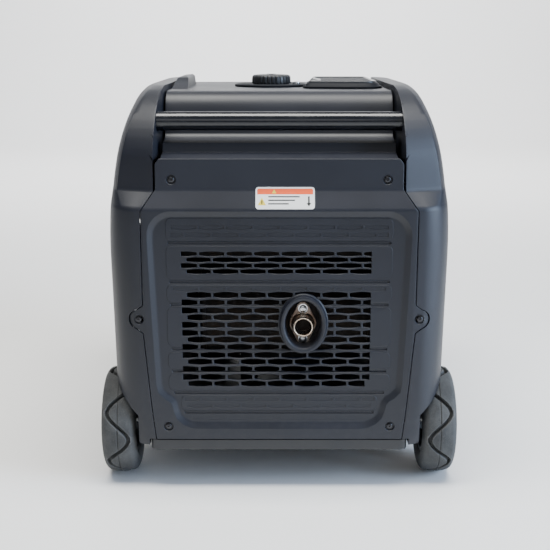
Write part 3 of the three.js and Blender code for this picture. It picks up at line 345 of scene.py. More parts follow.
BLACKENED = bright_metal("blackened_screw", (0.05, 0.05, 0.055), 0.35)


# ------------ meshes
def solid_from(bm, name):
    mesh = bpy.data.meshes.new(name)
    bm.to_mesh(mesh)
    bm.free()
    made = bpy.data.objects.new(name, mesh)
    bpy.context.scene.collection.objects.link(made)
    return made


def applied(piece):
    """Puts what the modifiers make into the piece's own mesh."""
    graph = bpy.context.evaluated_depsgraph_get()
    mesh = bpy.data.meshes.new_from_object(piece.evaluated_get(graph))
    piece.modifiers.clear()
    piece.data = mesh
    return piece


def combine(piece, other, operation="UNION"):
    modifier = piece.modifiers.new("combine", "BOOLEAN")
    modifier.operation = operation
    modifier.solver = "MANIFOLD"
    modifier.object = other
    applied(piece)
    bpy.data.objects.remove(other)
    return piece


def cut(piece, cutter):
    return combine(piece, cutter, "DIFFERENCE")


def softened(piece, width, segments=2, angle=30):
    """Rounds the edges sharper than an angle, and shades the rest smooth."""
    modifier = piece.modifiers.new("round", "BEVEL")
    modifier.width = width
    modifier.segments = segments
    modifier.limit_method = "ANGLE"
    modifier.angle_limit = math.radians(angle)
    modifier.use_clamp_overlap = False
    modifier.miter_outer = "MITER_ARC"
    return smoothed(applied(piece), 34)


def smoothed(piece, angle):
    mesh = piece.data
    mesh.shade_smooth()
    mesh.set_sharp_from_angle(angle=math.radians(angle))
    modifier = piece.modifiers.new("even", "WEIGHTED_NORMAL")
    modifier.keep_sharp = True
    return applied(piece)


def dress(piece, material, body, slot, *replaced):
    piece.data.materials.clear()
    piece.data.materials.append(material)
    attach(piece, body)
    if replaced:
        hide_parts(*replaced)
    return piece


def from_cad(node):
    """A copy of a CAD node's mesh with its flat faces made whole."""
    bm = bmesh.new()
    bm.from_mesh(frame["nodes"][node].data)
    bmesh.ops.remove_doubles(bm, verts=bm.verts, dist=2e-5)
    bmesh.ops.dissolve_limit(bm, angle_limit=math.radians(0.6), verts=bm.verts, edges=bm.edges)
    return solid_from(bm, node + "_skin")


def refined(node, material):
    """A CAD node with its edges rounded, in its own finish."""
    data = frame["nodes"][node]
    made = softened(from_cad(node), 0.6 * MM)
    slot = next(s["material_slot"] for s in frame["record"]["subparts"] if s["node"] == node)
    return dress(made, material, data["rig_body"], slot, node)


# ------------ bodies made from rings and outlines
def add_rings(bm, rings, round_trip=False):
    """Joins rings of equally many points, in millimetres, into a closed body: capped, or a full round."""
    rows = [[bm.verts.new(Vector(point) * MM) for point in ring] for ring in rings]
    following = rows[1:] + rows[:1] if round_trip else rows[1:]
    for low, high in zip(rows, following):
        for i in range(len(low)):
            after = (i + 1) % len(low)
            bm.faces.new((low[i], low[after], high[after], high[i]))
    if not round_trip:
        bm.faces.new(rows[0][::-1])
        bm.faces.new(rows[-1])


def body_of(name, *ring_stacks, round_trip=False):
    bm = bmesh.new()
    for rings in ring_stacks:
        add_rings(bm, rings, round_trip)
    bmesh.ops.recalc_face_normals(bm, faces=bm.faces)
    return solid_from(bm, name)


def grown(outline, by):
    """A closed counterclockwise outline with every side moved out by a distance."""
    points = [Vector(point) for point in outline]
    moved = []
    for before, here, after in zip(points[-1:] + points[:-1], points, points[1:] + points[:1]):
        first, second = (here - before).normalized(), (after - here).normalized()
        out = Vector((first.y + second.y, -first.x - second.x))
        moved.append(here + out * (2 * by / out.length_squared))
    return moved


def end_rings(outline, steps, side=-1):
    """An outline (x, z) carried through steps of (growth, distance from the middle) towards one end."""
    return [[(x, side * away, z) for x, z in grown(outline, growth)] for growth, away in steps]


def arc(x, z, radius, start, end, count):
    angles = [math.radians(start + (end - start) * i / count) for i in range(count + 1)]
    return [(x + radius * math.cos(a), z + radius * math.sin(a)) for a in angles]


def rounded_box(x, z, width, height, radius, count=5):
    corners = ((1, -1, -90), (1, 1, 0), (-1, 1, 90), (-1, -1, 180))
    outline = []
    for across, up, start in corners:
        centre = x + across * (width / 2 - radius), z + up * (height / 2 - radius)
        outline += arc(*centre, radius, start, start + 90, count)
    return outline


def oval(x, z, across, up, count=72):
    turns = [2 * math.pi * i / count for i in range(count)]
    return [(x + across * math.cos(t), z + up * math.sin(t)) for t in turns]


def turned(profile, along, centre, count):
    """Rings of a profile of (radius, place along the axis), turned round an axis through a centre."""
    axes = {"x": (1, 2, 0), "y": (2, 0, 1), "z": (0, 1, 2)}[along]
    rings = []
    for radius, place in profile:
        ring = []
        for i in range(count):
            turn = 2 * math.pi * i / count
            point = [0, 0, 0]
            for axis, value in zip(axes, (radius * math.cos(turn), radius * math.sin(turn), place)):
                point[axis] = centre[axis] + value
            ring.append(point)
        rings.append(ring)
    return rings


def eased(value, low, high):
    t = min(1, max(0, (value - low) / (high - low)))
    return t * t * (3 - 2 * t)


# ------------ the exhaust panel
END = 295  # exhaust face to the middle
WALL = 3
PANEL_TOP = 440
# height, and how far the end is set back there
SLOPE = ((374, 0), (376.5, 0.3), (379, 1.2), (398.5, 11.5), (401, 12.3), (403.5, 12.6), (440, 14))
FIELD_SET = 4  # the field is set back by this
FACE_TURN = ((0, 0), (172, 0), (187, 3), (201, 11), (211, 24))  # across, and how far the corner has turned in
EAR = (182, 233.5, 12.5)


def followed(points, at):
    for (a, value_a), (b, value_b) in zip(points, points[1:]):
        if at <= b:
            return value_a + (value_b - value_a) * max(0, at - a) / (b - a)
    return points[-1][1]


def end_face(x, z):
    """How far the end face is from the middle at a place."""
    return END - followed(SLOPE, z) - followed(FACE_TURN, abs(x))


def end_panel_outline():
    half = [(162, 70), (166, 103), (176, 215)]
    half += arc(*EAR, -75, 75, 10)
    half += [(176, 252), (176.5, 374), (158, 401), (158, 433), (153, PANEL_TOP)]
    return half + [(-x, z) for x, z in half[::-1]]


def end_skin(name, side):
    """The plain moulding of an end panel, with its slope and its turned corners."""
    across = [-201, -187, -172, -60, 60, 172, 187, 201]
    heights = [60] + [z for z, _ in SLOPE] + [450]
    rings = []
    for z in heights:
        front = [(x, side * end_face(x, z), z) for x in across]
        back = [(x, side * (end_face(x, z) - WALL), z) for x in reversed(across)]
        rings.append(front + back)
    skin = body_of(name, rings)
    trim = body_of("trim", end_rings(end_panel_outline(), ((0, 200), (0, 320)), side))
    return softened(combine(skin, trim, "INTERSECT"), 0.9 * MM, 3, 50)


def field_outline():
    """The set-back field: a rounded rectangle whose foot steps in on both sides."""
    half = [(107, 92.2), (114, 93), (122.5, 96.8), (128.8, 103), (131.8, 111), (134, 121), (139, 127.6)]
    half += [(146.5, 132.5), (152, 138.5), (153.6, 147), (158.4, 259.5), (161.3, 338)]
    half += arc(137.3, 343.5, 24, 5, 85, 8)
    return half + [(-x, z) for x, z in half[::-1]]


SLOT_PITCH = 35.2
SLOT_BAR = 3.2
GRILLE = (-126, 118)
FIRST_BAR = -104.3
SLOT_BOW = 0.4  # share of a slot's height that is lost towards its ends


def row_of_slots(z, half_height, shifted, left, right):
    """Outlines of flattened slots, lower at their ends and cut off at the sides of the grille."""
    slots = []
    bar = FIRST_BAR - 2 * SLOT_PITCH + (SLOT_PITCH / 2 if shifted else 0)
    while bar < right:
        low, high = bar + SLOT_BAR / 2, bar + SLOT_PITCH - SLOT_BAR / 2
        middle, reach = (low + high) / 2, (high - low) / 2
        from_x, to_x = max(low, left), min(high, right)
        bar += SLOT_PITCH
        if to_x - from_x < 8:
            continue
        edges = []
        for i in range(9):
            x = from_x + (to_x - from_x) * i / 8
            edges.append((x, half_height * (1 - SLOT_BOW * eased(abs(x - middle) / reach, 0.2, 1.15))))
        slots.append([(x, z - up) for x, up in edges] + [(x, z + up) for x, up in reversed(edges)])
    return slots


def grille_outlines():
    outlines = []
    for i in range(4):
        shifted = i % 2 == 1
        outlines += row_of_slots(319.5 - 7.7 * i, 3.0, shifted, GRILLE[0] + 7 * shifted, GRILLE[1])
    for i in range(13):
        group, place = divmod(i, 3)
        shifted = place == 0
        z = 265.4 - 29.9 * group - (0, 10, 20.8)[place]
        outlines += row_of_slots(z, 3.9, shifted, GRILLE[0] + 7 * shifted, GRILLE[1] - (6 if i == 12 else 0))
    return outlines


def blind_outlines():
    rows = ((354, False, 139), (344, True, 139), (273.6, False, 137), (124.6, False, 125), (115.4, True, 121),
            (98.6, False, 115))
    return [slot for z, shifted, reach in rows for slot in row_of_slots(z, 2.6, shifted, -reach, reach)]


def groove(z, reach):
    """A horizontal groove with round ends and a flat floor."""
    half = 1.9
    outline = rounded_box(0, z, 2 * reach, 2 * half, half - 0.05, 4)
    depth = END - FIELD_SET
    steps = ((1.1, depth + 1), (0.35, depth + 0.15), (0, depth - 0.35), (-0.7, depth - 1.5))
    return end_rings(outline, steps)


COLLAR = (31.2, 227.5, 30.2, 38)
CUP_PLACES = [(137.5, 413.6), EAR[:2], (146, 88)]
# low edge and high edge
PAD_BANDS = ((337, 366), (286.5, 330), (256, 279), (197, 249), (166, 189), (137, 159), (109, 130))
# height and half length
GROOVES = ((333.6, 143), (282.6, 142), (252.4, 141), (193, 140.5), (162.7, 140), (133.3, 138), (106.2, 125))


def pad_outlines():
    pads = []
    for low, high in PAD_BANDS:
        reach = 145 if low > 130 else 129
        pads.append(rounded_box(0, (low + high) / 2, 2 * reach, high - low, 7, 4))
    return pads


def rear_panel():
    depth = END - FIELD_SET
    panel = end_skin("rear_panel_skin", -1)
    field = field_outline()
    backing = body_of("backing", end_rings(grown(field, 8), ((0, depth - 3), (0, END - 2.9))))
    combine(panel, backing)
    rim = ((8.4, END + 1.5), (7.6, END - 0.05), (6.8, END - 0.35), (6.0, END - 0.85), (1.6, depth + 0.85),
           (0.6, depth + 0.35), (-0.6, depth + 0.07), (-1.8, depth))
    cut(panel, body_of("field", end_rings(field, rim)))
    pad = ((0, depth - 1), (0, depth + 0.25), (-0.4, depth + 0.5))
    combine(panel, body_of("pads", *[end_rings(outline, pad) for outline in pad_outlines()]))
    cut(panel, body_of("grooves", *[groove(z, reach) for z, reach in GROOVES]))
    blind = ((0.5, depth + 1.5), (0.5, depth + 0.7), (0.1, depth + 0.1), (0, depth - 0.3))
    cut(panel, body_of("blind", *[end_rings(o, blind) for o in blind_outlines()]))
    through = ((0.9, depth + 1.5), (0.9, depth + 0.6), (0.3, depth + 0.2), (0.05, depth - 0.4),
               (0, depth - 8))
    cut(panel, body_of("slots", *[end_rings(o, through) for o in grille_outlines()]))
    collar = oval(*COLLAR)
    ring = ((2.2, depth - 3.2), (2.2, depth + 0.3), (1.2, depth + 0.7), (0.4, depth + 1.8), (0, depth + 4),
            (-0.1, END + 3.2), (-0.9, END + 4.5), (-2.3, END + 5), (-4.0, END + 4.8), (-6.0, END + 3.9))
    combine(panel, body_of("collar", end_rings(collar, ring)))
    tube = ((1, 272), (1, depth - 2))
    combine(panel, body_of("tube", end_rings(grown(collar, -5), tube)))
    throat = ((-4.4, END + 8), (-5.4, END + 4.4), (-6.3, END + 2.8), (-6.9, END + 0.6), (-7.1, END - 3),
              (-7.1, 262))
    cut(panel, body_of("throat", end_rings(collar, throat)))
    cut(panel, screw_cups(-1))
    return dress(smoothed(panel, 32), HOUSING, "frame", "housing_plastic", "rear_panel")


def cup_places():
    return [(side * x, z) for x, z in CUP_PLACES for side in (-1, 1)]


def screw_cups(side):
    """Cutters for the round cups that the panel's screws sit in."""
    steps = ((7.4, 3), (6.9, 0.4), (6.2, -0.4), (5.9, -1), (5.7, -2.4), (5.7, -2.45), (2.4, -2.45), (2.4, -8))
    stacks = []
    for x, z in cup_places():
        face = end_face(x, z)
        stacks.append(turned([(radius, side * (face + out)) for radius, out in steps], "y", (x, 0, z), 40))
    return body_of("cups", *stacks)


# shares of a screw head's radius and height, from its shank over its rim to its crown
HEAD_STEPS = ((0.45, -0.02), (0.98, 0), (1.0, 0.25), (0.97, 0.5), (0.85, 0.78), (0.62, 0.95), (0.3, 1.0))


def screw_rings(place, out, along, radius, height, centre, tail):
    """A pan-head screw seated at a place along an axis and rising towards out."""
    shape = [(0.45 * radius, place - out * tail)]
    for share, rise in HEAD_STEPS:
        shape.append((share * radius, place + out * rise * height))
    return turned(shape, along, centre, 32)


def screw(name, material, slot, place, out, along, radius, height, centre, tail, turn):
    """A cross-head screw with a recess whose arms narrow as they go down."""
    head = body_of(name, screw_rings(place, out, along, radius, height, centre, tail))
    for arm in (turn, turn + 90):
        bm = bmesh.new()
        bmesh.ops.create_cube(bm, size=1)
        length, breadth, deep = radius * 1.15, radius * 0.24, height * 0.75
        for v in bm.verts:
            narrow = 1.0 if v.co.z > 0 else 0.45
            v.co = Vector((v.co.x * length * narrow, v.co.y * breadth * narrow, v.co.z * 2 * deep)) * MM
        bmesh.ops.rotate(bm, verts=bm.verts, matrix=Matrix.Rotation(math.radians(arm), 3, "Z"))
        towards = Vector({"x": (out, 0, 0), "y": (0, out, 0), "z": (0, 0, out)}[along])
        bmesh.ops.rotate(bm, verts=bm.verts, matrix=towards.to_track_quat("Z", "Y").to_matrix())
        middle = Vector(centre)
        middle["xyz".index(along)] += place + out * (height + deep * 0.25)
        bmesh.ops.translate(bm, verts=bm.verts, vec=middle * MM)
        cut(head, solid_from(bm, "arm"))
    return dress(smoothed(head, 30), material, "frame", slot)


def panel_screws(prefix, side):
    for i, (x, z) in enumerate(cup_places()):
        seat = side * (end_face(x, z) - 2.4)
        name = f"{prefix}_screw_{i + 1}"
        screw(name, BLACKENED, "gloss_trim", seat, side, "y", 4.3, 2.3, (x, 0, z), 4, 25 + 40 * i)


# ------------ side panels and the service door
SEAM = 0.6
HALF_WIDTH = 225
TOP = 528
SKIRT = 61
FAR = 400  # beyond every face
FLANK_CUT = (195, 260)  # across, from inside a flank's wall to outside it
AXLE = (-220, 73)
WELL = {"radius": 77, "wall": 186.5}
LATCH = (-69, 250, 5.4)
DOOR = (10, 250, 210, 230, 22)
GRIP = (95, 318, 108, 40, 16)
BAR = {"y": -236, "z": 484, "radius": 12.5, "half": 161}
SOFT_TURN = ((49, 0), (34, 3), (20, 11), (10, 24), (3, 45), (0, 80))
CREASED_BAND = ((60, 0), (36, 9.5), (12, 19), (7, 31), (2.5, 50), (0, 80))


def curve(*controls, count):
    """Points along a Bezier curve, after its start."""
    points = []
    for i in range(1, count + 1):
        row = [Vector(control) for control in controls]
        while len(row) > 1:
            row = [a.lerp(b, i / count) for a, b in zip(row, row[1:])]
        points.append(tuple(row[0]))
    return points


def flank_line():
    line = [(HALF_WIDTH - 17, SKIRT)]
    line += curve(line[-1], (HALF_WIDTH - 7, SKIRT + 6), (HALF_WIDTH - 4, SKIRT + 64), count=8)
    line += [(HALF_WIDTH, TOP - 215)]
    line += curve(line[-1], (HALF_WIDTH + 1, TOP - 130), (HALF_WIDTH - 12, TOP - 62),
                  (HALF_WIDTH - 30, TOP - 24), count=14)
    return line + curve(line[-1], (HALF_WIDTH - 38, TOP - 3), (HALF_WIDTH - 50, TOP), count=8)


def end_line():
    line = [(END, SKIRT)] + [(END - back, z) for z, back in SLOPE]
    return line + curve(line[-1], (END - 20, TOP - 50), (END - 48, TOP - 4), (END - 115, TOP), count=22)


def across_at(line, height):
    return followed([(z, out) for out, z in line], height)


def smooth_through(points, creases):
    """A curve through points, straight on both sides of each crease."""
    path = [Vector(points[0])]
    last = len(points) - 1
    for i in range(last):
        a, b = Vector(points[i]), Vector(points[i + 1])
        into = onward = (b - a) / 3
        if i > 0 and i not in creases:
            into = (b - Vector(points[i - 1])) / 6
        if i + 1 < last and i + 1 not in creases:
            onward = (Vector(points[i + 2]) - a) / 6
        path += [Vector(p) for p in curve(a, a + into, b - onward, b, count=4)]
    return path


SOFT_PATH = smooth_through(SOFT_TURN, ())
CREASED_PATH = smooth_through(CREASED_BAND, (1, 2))


def plan_corner(x, y, z):
    share = eased(z, 378, 400)
    points = [soft.lerp(creased, share) for soft, creased in zip(SOFT_PATH, CREASED_PATH)]
    return [(x - back, y - inwards) for back, inwards in points]


def housing(name, inset, bottom):
    """The housing's outer form, or the room inside it, as a stack of level rings."""
    flank, end = flank_line(), end_line()
    levels = [bottom]
    for z in sorted([z for _, z in flank + end] + [90, 180, 240, 345, 360]):
        if z > levels[-1] + 1.2 and z < TOP - 0.25:
            levels.append(z)
    rings = []
    for z in levels + [TOP]:
        corner = plan_corner(across_at(flank, z) - inset, across_at(end, z) - inset, z)
        right = [(x, -y) for x, y in corner] + corner[::-1]
        level = min(z, TOP - inset) if z == TOP else z - inset * eased(z, 470, TOP)
        rings.append([(x, y, level) for x, y in right + [(-x, y) for x, y in right[::-1]]])
    return body_of(name, rings)


def upright(outline, low=0, high=600):
    return [[(x, y, z) for x, y in outline] for z in (low, high)]


def arch_side(offset, side):
    """Everything outside the inner wall of one arch, seen from above."""
    ends, middle = 161.6 + offset, 152.6 + offset
    line = [(ends, -FAR), (ends, -END), (middle, -150), (middle, 150), (ends, END), (ends, FAR)]
    return [(side * x, y) for x, y in line + [(FAR, FAR), (FAR, -FAR)]]


def half_box(name, side, reach, top):
    """A box from the middle out to reach on one side, past both ends."""
    low, high = sorted((0, side * reach))
    return body_of(name, upright([(low, -FAR), (high, -FAR), (high, FAR), (low, FAR)], 0, top))


def along_x(outline, low, high):
    return [[(x, y, z) for y, z in outline] for x in (low, high)]


def circle(y, z, radius, count):
    return arc(y, z, radius, 0, 360, count)[:-1]


def well(side, growth):
    """The room that a wheel turns in."""
    outline = circle(*AXLE, WELL["radius"] + growth, 96)
    return body_of("well", along_x(outline, side * (WELL["wall"] - growth), side * FAR))


def panel_blank(side):
    """Half of the housing as a thin wall, open at the ends, at the foot and round the wheel."""
    outer = combine(housing("form", 0, SKIRT), body_of("arch", upright(arch_side(0, side))), "INTERSECT")
    inner = housing("room", WALL, SKIRT + WALL)
    combine(inner, body_of("arch", upright(arch_side(WALL, side))), "INTERSECT")
    low_room = housing("low", WALL, SKIRT + WALL)
    combine(low_room, half_box("low_box", side, FAR, PANEL_TOP - WALL), "INTERSECT")
    combine(inner, low_room)
    cut(inner, well(side, WALL))
    cut(outer, inner)
    cut(outer, well(side, 0))
    cut(outer, half_box("foot", side, 171.5, 70))
    for end in (-1, 1):
        ring = end_rings(end_panel_outline(), ((SEAM, 255), (SEAM, FAR)), end)
        cut(outer, body_of("end_cover", ring))
    cut(outer, body_of("axle_hole", along_x(circle(*AXLE, 8.4, 32), 0, side * FAR)))
    clearance = 0.4
    bar_end = circle(BAR["y"], BAR["z"], BAR["radius"] + clearance, 48)
    cut(outer, body_of("bar_hole", along_x(bar_end, 0, side * (BAR["half"] + clearance))))
    return outer


def through_flank(outline, side):
    return along_x(outline, side * FLANK_CUT[0], side * FLANK_CUT[1])


def vent_rings(side, y, length, rows):
    return [through_flank(rounded_box(y, 121 + 20 * i, length, 8, 3.9, 6), side) for i in rows]


def side_panel(side):
    panel = panel_blank(side)
    cut(panel, body_of("front_vents", *vent_rings(side, 215, 84, range(9))))
    if side > 0:
        y, z, width, height, radius = DOOR
        opening = rounded_box(y, z, width + 2 * SEAM, height + 2 * SEAM, radius + SEAM, 10)
        cut(panel, body_of("door_hole", through_flank(opening, side)))
    else:
        cut(panel, body_of("middle_vents", *vent_rings(side, -20, 130, range(7))))
        cut(panel, body_of("grip_hole", through_flank(rounded_box(*GRIP, 8), side)))
    name = "left_side_panel" if side < 0 else "right_side_panel"
    panel.name = name + "_moulding"
    return dress(softened(panel, 0.7 * MM, 2, 40), HOUSING, "frame", "housing_plastic", name)


def service_door():
    """The flank's own skin, with a shallow groove that runs round inside the door's edge."""
    skin = cut(housing("door_form", 0, SKIRT), housing("door_room", WALL, SKIRT + WALL))
    combine(skin, body_of("door_edge", through_flank(rounded_box(*DOOR, 10), 1)), "INTERSECT")
    cut(skin, body_of("latch_hole", through_flank(circle(*LATCH, 32), 1)))
    y, z, width, height, _ = DOOR
    inset = rounded_box(y, z, width - 26, height - 26, 12, 8)
    half = 1.6
    corners = ((half, 0), (half, FAR), (-half, FAR), (-half, 0))
    groove_ring = [[(x, y, z) for y, z in grown(inset, growth)] for growth, x in corners]
    trench = body_of("trench", groove_ring, round_trip=True)
    floor = cut(housing("trench_form", -2, SKIRT), housing("trench_room", 0.9, SKIRT))
    cut(skin, combine(floor, trench, "INTERSECT"))
    skin.name = "service_door_moulding"
    return dress(softened(skin, 0.7 * MM, 2, 40), HOUSING, "door", "housing_plastic", "service_door")


# ------------ control end
WINDOW_PLACE = (0, 290, 292, 186, 14)
CONTROL_FACE = 284


def front_panel():
    panel = end_skin("front_panel_skin", 1)
    x, z, width, height, radius = WINDOW_PLACE
    frame_outline = rounded_box(x, z, width + 2 * WALL, height + 2 * WALL, radius + WALL, 8)
    frame_steps = ((0, CONTROL_FACE - WALL), (0, END - 1))
    combine(panel, body_of("window_frame", end_rings(frame_outline, frame_steps, 1)))
    window = rounded_box(x, z, width, height, radius, 8)
    steps = ((6, END + 2), (4.4, END + 0.1), (3.2, END - 0.7), (1, END - 2.8), (0.2, END - 4), (0, END - 6),
             (0, 270))
    cut(panel, body_of("window", end_rings(window, steps, 1)))
    through = ((1.1, END + 1), (1.0, END + 0.1), (0.3, END - 0.4), (0, END - 1.2), (0, 270))
    louvres = []
    for row in range(6):
        for middle in (-70, 70):
            louvres.append(end_rings(rounded_box(middle, 96 + 14 * row, 118, 7, 3.4, 6), through, 1))
    cut(panel, body_of("louvres", *louvres))
    cut(panel, screw_cups(1))
    return dress(smoothed(panel, 32), HOUSING, "frame", "housing_plastic", "front_panel")


# ------------ label over the slope
LABEL = (7.4, 391, 75, 26.6)


def eased_face(x, z):
    """The end face with its bends rounded off, for a print to lie on."""
    return sum(end_face(x, z + step) for step in (-1.0, 0, 1.0)) / 3


def decal(name, outline, lift, material, thick=0.2):
    """A print that lies on the end face, bent where the face bends: its top is lift above the plastic."""
    bm = bmesh.new()
    bm.faces.new([bm.verts.new((x, 0, z)) for x, z in outline])
    for height, _ in SLOPE:
        geometry = bm.verts[:] + bm.edges[:] + bm.faces[:]
        bmesh.ops.bisect_plane(bm, geom=geometry, plane_co=(0, 0, height), plane_no=(0, 0, 1))
    front = bm.verts[:]
    extruded = bmesh.ops.extrude_face_region(bm, geom=bm.faces[:])["geom"]
    back = [v for v in extruded if isinstance(v, bmesh.types.BMVert)]
    for vertices, out in ((front, lift), (back, lift - thick)):
        for v in vertices:
            v.co.y = -(eased_face(v.co.x, v.co.z) + out)
    bmesh.ops.scale(bm, verts=bm.verts, vec=(MM, MM, MM))
    bmesh.ops.recalc_face_normals(bm, faces=bm.faces)
    return dress(solid_from(bm, name), material, "frame", "display_glass")


def triangle(x, z, size):
    angles = (math.pi * 7 / 6, -math.pi / 6, math.pi / 2)
    return [(x + size * math.cos(a), z + size * math.sin(a)) for a in angles]


def slope_label():
    """A plate of plain prints: a header, two signs, three bars and an arrow that points down."""
    x, z, width, height = LABEL
    decal("label_base", rounded_box(x, z, width, height, 3.6), 0.25, WHITE, 0.6)
    left, right, top = x - width / 2 + 2, x + width / 2 - 2, z + height / 2 - 2
    header = [(left, top - 7), (right, top - 7), (right, top - 1.5), (right - 1.5, top), (left + 1.5, top),
              (left, top - 1.5)]
    decal("label_header", header, 0.32, ORANGE)
    decal("label_sign_small", triangle(x - 14, top - 4.1, 3.4), 0.4, YELLOW)
    decal("label_sign", triangle(left + 6, z - 5.5, 6), 0.34, YELLOW)
    mark = [(left + 5.5, z - 7.5), (left + 6.5, z - 7.5), (left + 6.9, z - 2.8), (left + 5.1, z - 2.8)]
    decal("label_sign_mark", mark, 0.4, INK)
    for i, length in enumerate((40, 34, 26)):
        start, low = left + 14, z + 0.8 - 4.2 * i
        bar = [(start, low), (start + length, low), (start + length, low + 1.5), (start, low + 1.5)]
        decal(f"label_line_{i + 1}", bar, 0.34, INK)
    stem_x = right - 5.5
    arrow = [(stem_x, z - 10), (stem_x + 3, z - 6), (stem_x + 1.1, z - 6), (stem_x + 1.1, z + 2),
             (stem_x - 1.1, z + 2), (stem_x - 1.1, z - 6), (stem_x - 3, z - 6)]
    decal("label_arrow", arrow, 0.34, INK)


# ------------ wheels
TYRE = {"middle": 215, "half": 23, "radius": 73}
TREAD_WAVES = 6
TREAD_SWAY = 13.8


def tyre_outline():
    """(across, radius) from one bead over the tread to the other."""
    half = [(16, 45.8), (18.2, 46.2), (20, 47.5), (21.7, 50), (22.6, 53), (23, 56.5), (22.8, 60),
            (22.1, 63.5), (20.8, 66.4), (18.8, 68.9), (16.9, 70.3)]
    tread = [(a / 2, TYRE["radius"] - 2.3 * (a / 32) ** 2) for a in range(31, -32, -1)]
    return half + tread + [(-a, r) for a, r in reversed(half)]


def groove_depth(across, turn, hand):
    """How deep the tread is cut: a sinuous groove, and a fine line round the middle."""
    phase = TREAD_WAVES * turn + 1
    centre = TREAD_SWAY * math.sin(phase) * hand
    lean = TREAD_SWAY * TREAD_WAVES * math.cos(phase) / TYRE["radius"]
    gap = abs(across - centre) / math.sqrt(1 + lean * lean)
    wave = 6.0 * (1 - eased(gap, 1.6, 2.6))
    line = 1.0 * (1 - eased(abs(across), 0.5, 1.1))
    return max(wave, line)


def tyre(side, hand):
    outline = tyre_outline()
    count = 360
    rings = []
    for i in range(count):
        turn = 2 * math.pi * i / count
        ring = []
        for across, radius in outline:
            lump = 0.15 * noise.noise(Vector((across * 0.2, 12 * math.cos(turn), 12 * math.sin(turn))))
            r = radius - (groove_depth(across, turn, hand) if abs(across) < 18 else 0) + lump
            y, z = AXLE[0] + r * math.cos(turn), AXLE[1] + r * math.sin(turn)
            ring.append((side * TYRE["middle"] + across, y, z))
        rings.append(ring)
    name = "left_tyre" if side < 0 else "right_tyre"
    made = body_of(name + "_tread", rings, round_trip=True)
    made.data.shade_smooth()
    made.data.set_sharp_from_angle(angle=math.radians(50))
    return dress(made, TYRE_FINISH, "left_wheel" if side < 0 else "right_wheel", "tyre_rubber", name)


def round_axle(side, profile, count):
    """A profile of (radius, place outwards from the tyre's middle), turned round the axle."""
    placed = [(radius, side * (TYRE["middle"] + place)) for radius, place in profile]
    return turned(placed, "x", (0, *AXLE), count)


def wheel_windows(side):
    """Cutters for the five windows, opened out towards the front."""
    steps = ((1.2, 10.6), (0.9, 6.8), (0.2, 5.5), (0, 4.3), (0, -12))
    windows = []
    for i in range(5):
        middle = 72 * i + 18
        inner = arc(0, 0, 20.5, middle - 20, middle + 20, 6)
        outer = arc(0, 0, 35, middle - 25, middle + 25, 9)
        outline = outer + inner[::-1]
        rings = []
        for growth, place in steps:
            x = side * (TYRE["middle"] + place)
            rings.append([(x, AXLE[0] + y, AXLE[1] + z) for y, z in grown(outline, growth)])
        windows.append(rings)
    return body_of("windows", *windows)


def wheel(side):
    """A moulded wheel: a stepped rim, five windows between double spokes, and a boss with a pushed-on cap."""
    body = "left_wheel" if side < 0 else "right_wheel"
    name = "left_wheel_hub" if side < 0 else "right_wheel_hub"
    profile = ((8.4, -17.5), (15, -17.5), (16, -16.6), (16, -9.8), (30, -6.4), (38, -9), (40, -17.5),
               (41, -18.7), (45.2, -18.7), (45.5, -17.5), (44.9, -14), (44.9, 15.8), (45.5, 18),
               (44.6, 18.8), (42.6, 18.8), (41, 17), (39.2, 9.8), (36.5, 6.8), (24, 4.3), (18.2, 4.9),
               (17, 6.4), (16.6, 14), (15.6, 15), (8.4, 15))
    made = body_of(name + "_moulding", round_axle(side, profile, 96), round_trip=True)
    cut(made, wheel_windows(side))
    dress(smoothed(made, 30), BLACK, body, "black_plastic", name)
    cap = ((0.1, 20.5), (5, 20.3), (9, 19.7), (11.6, 18.3), (12.4, 17), (12.4, 14.8), (0.1, 14.8))
    cap_body = body_of(name + "_cap", round_axle(side, cap, 48))
    dress(smoothed(cap_body, 40), TRIM, body, "gloss_trim")


# ------------ exhaust outlet
OUTLET = (31.2, 222)


def exhaust_outlet():
    x, z = OUTLET
    lobe, waist = 8.2, 17.4
    outline = []
    outline += arc(x, z + 20.5, lobe, 28, 152, 10)
    outline += arc(x, z, waist, 168, 192, 4)
    outline += arc(x, z - 20.5, lobe, 208, 332, 10)
    outline += arc(x, z, waist, -12, 12, 4)
    plate = body_of("flange_plate", end_rings(outline, ((-0.6, 270.4), (0, 269.8), (0, 265.6), (-0.4, 265))))
    bolts = [turned([(3.2, -300), (3.2, -250)], "y", (x, 0, z + up), 24) for up in (20.5, -20.5)]
    cut(plate, body_of("bolts", *bolts, turned([(11.4, -300), (11.4, -250)], "y", (x, 0, z), 48)))
    dress(smoothed(plate, 30), STAINLESS, "frame", "stainless", "exhaust_flange")
    tube = ((10.4, 266), (14.6, 266), (15.8, 270), (15.2, 271.4), (13.7, 272.6), (13.5, 274), (13.5, 287.8),
            (13.1, 289.1), (12.3, 289.9), (11.4, 289.9), (10.7, 289.3), (10.4, 288.2))
    pipe = body_of("outlet_pipe", turned([(r, -y) for r, y in tube], "y", (x, 0, z), 64), round_trip=True)
    dress(smoothed(pipe, 40), CHAMPAGNE, "frame", "stainless")
    for name, up, turn in (("upper", 20.5, 15), ("lower", -20.5, 50)):
        washer = ((3.3, 270.5), (6.2, 270.5), (6.4, 270.9), (6.2, 271.5), (3.3, 271.5))
        ring = body_of(f"flange_washer_{name}", turned([(r, -y) for r, y in washer], "y", (x, 0, z + up), 40),
                       round_trip=True)
        dress(smoothed(ring, 30), ZINC, "frame", "zinc_plate")
        head = f"flange_screw_{name}_head"
        made = screw(head, ZINC, "zinc_plate", -271.5, -1, "y", 5, 3.2, (x, 0, z + up), 6, turn)
        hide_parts(f"flange_screw_{name}")
    spark_screen(x, z)


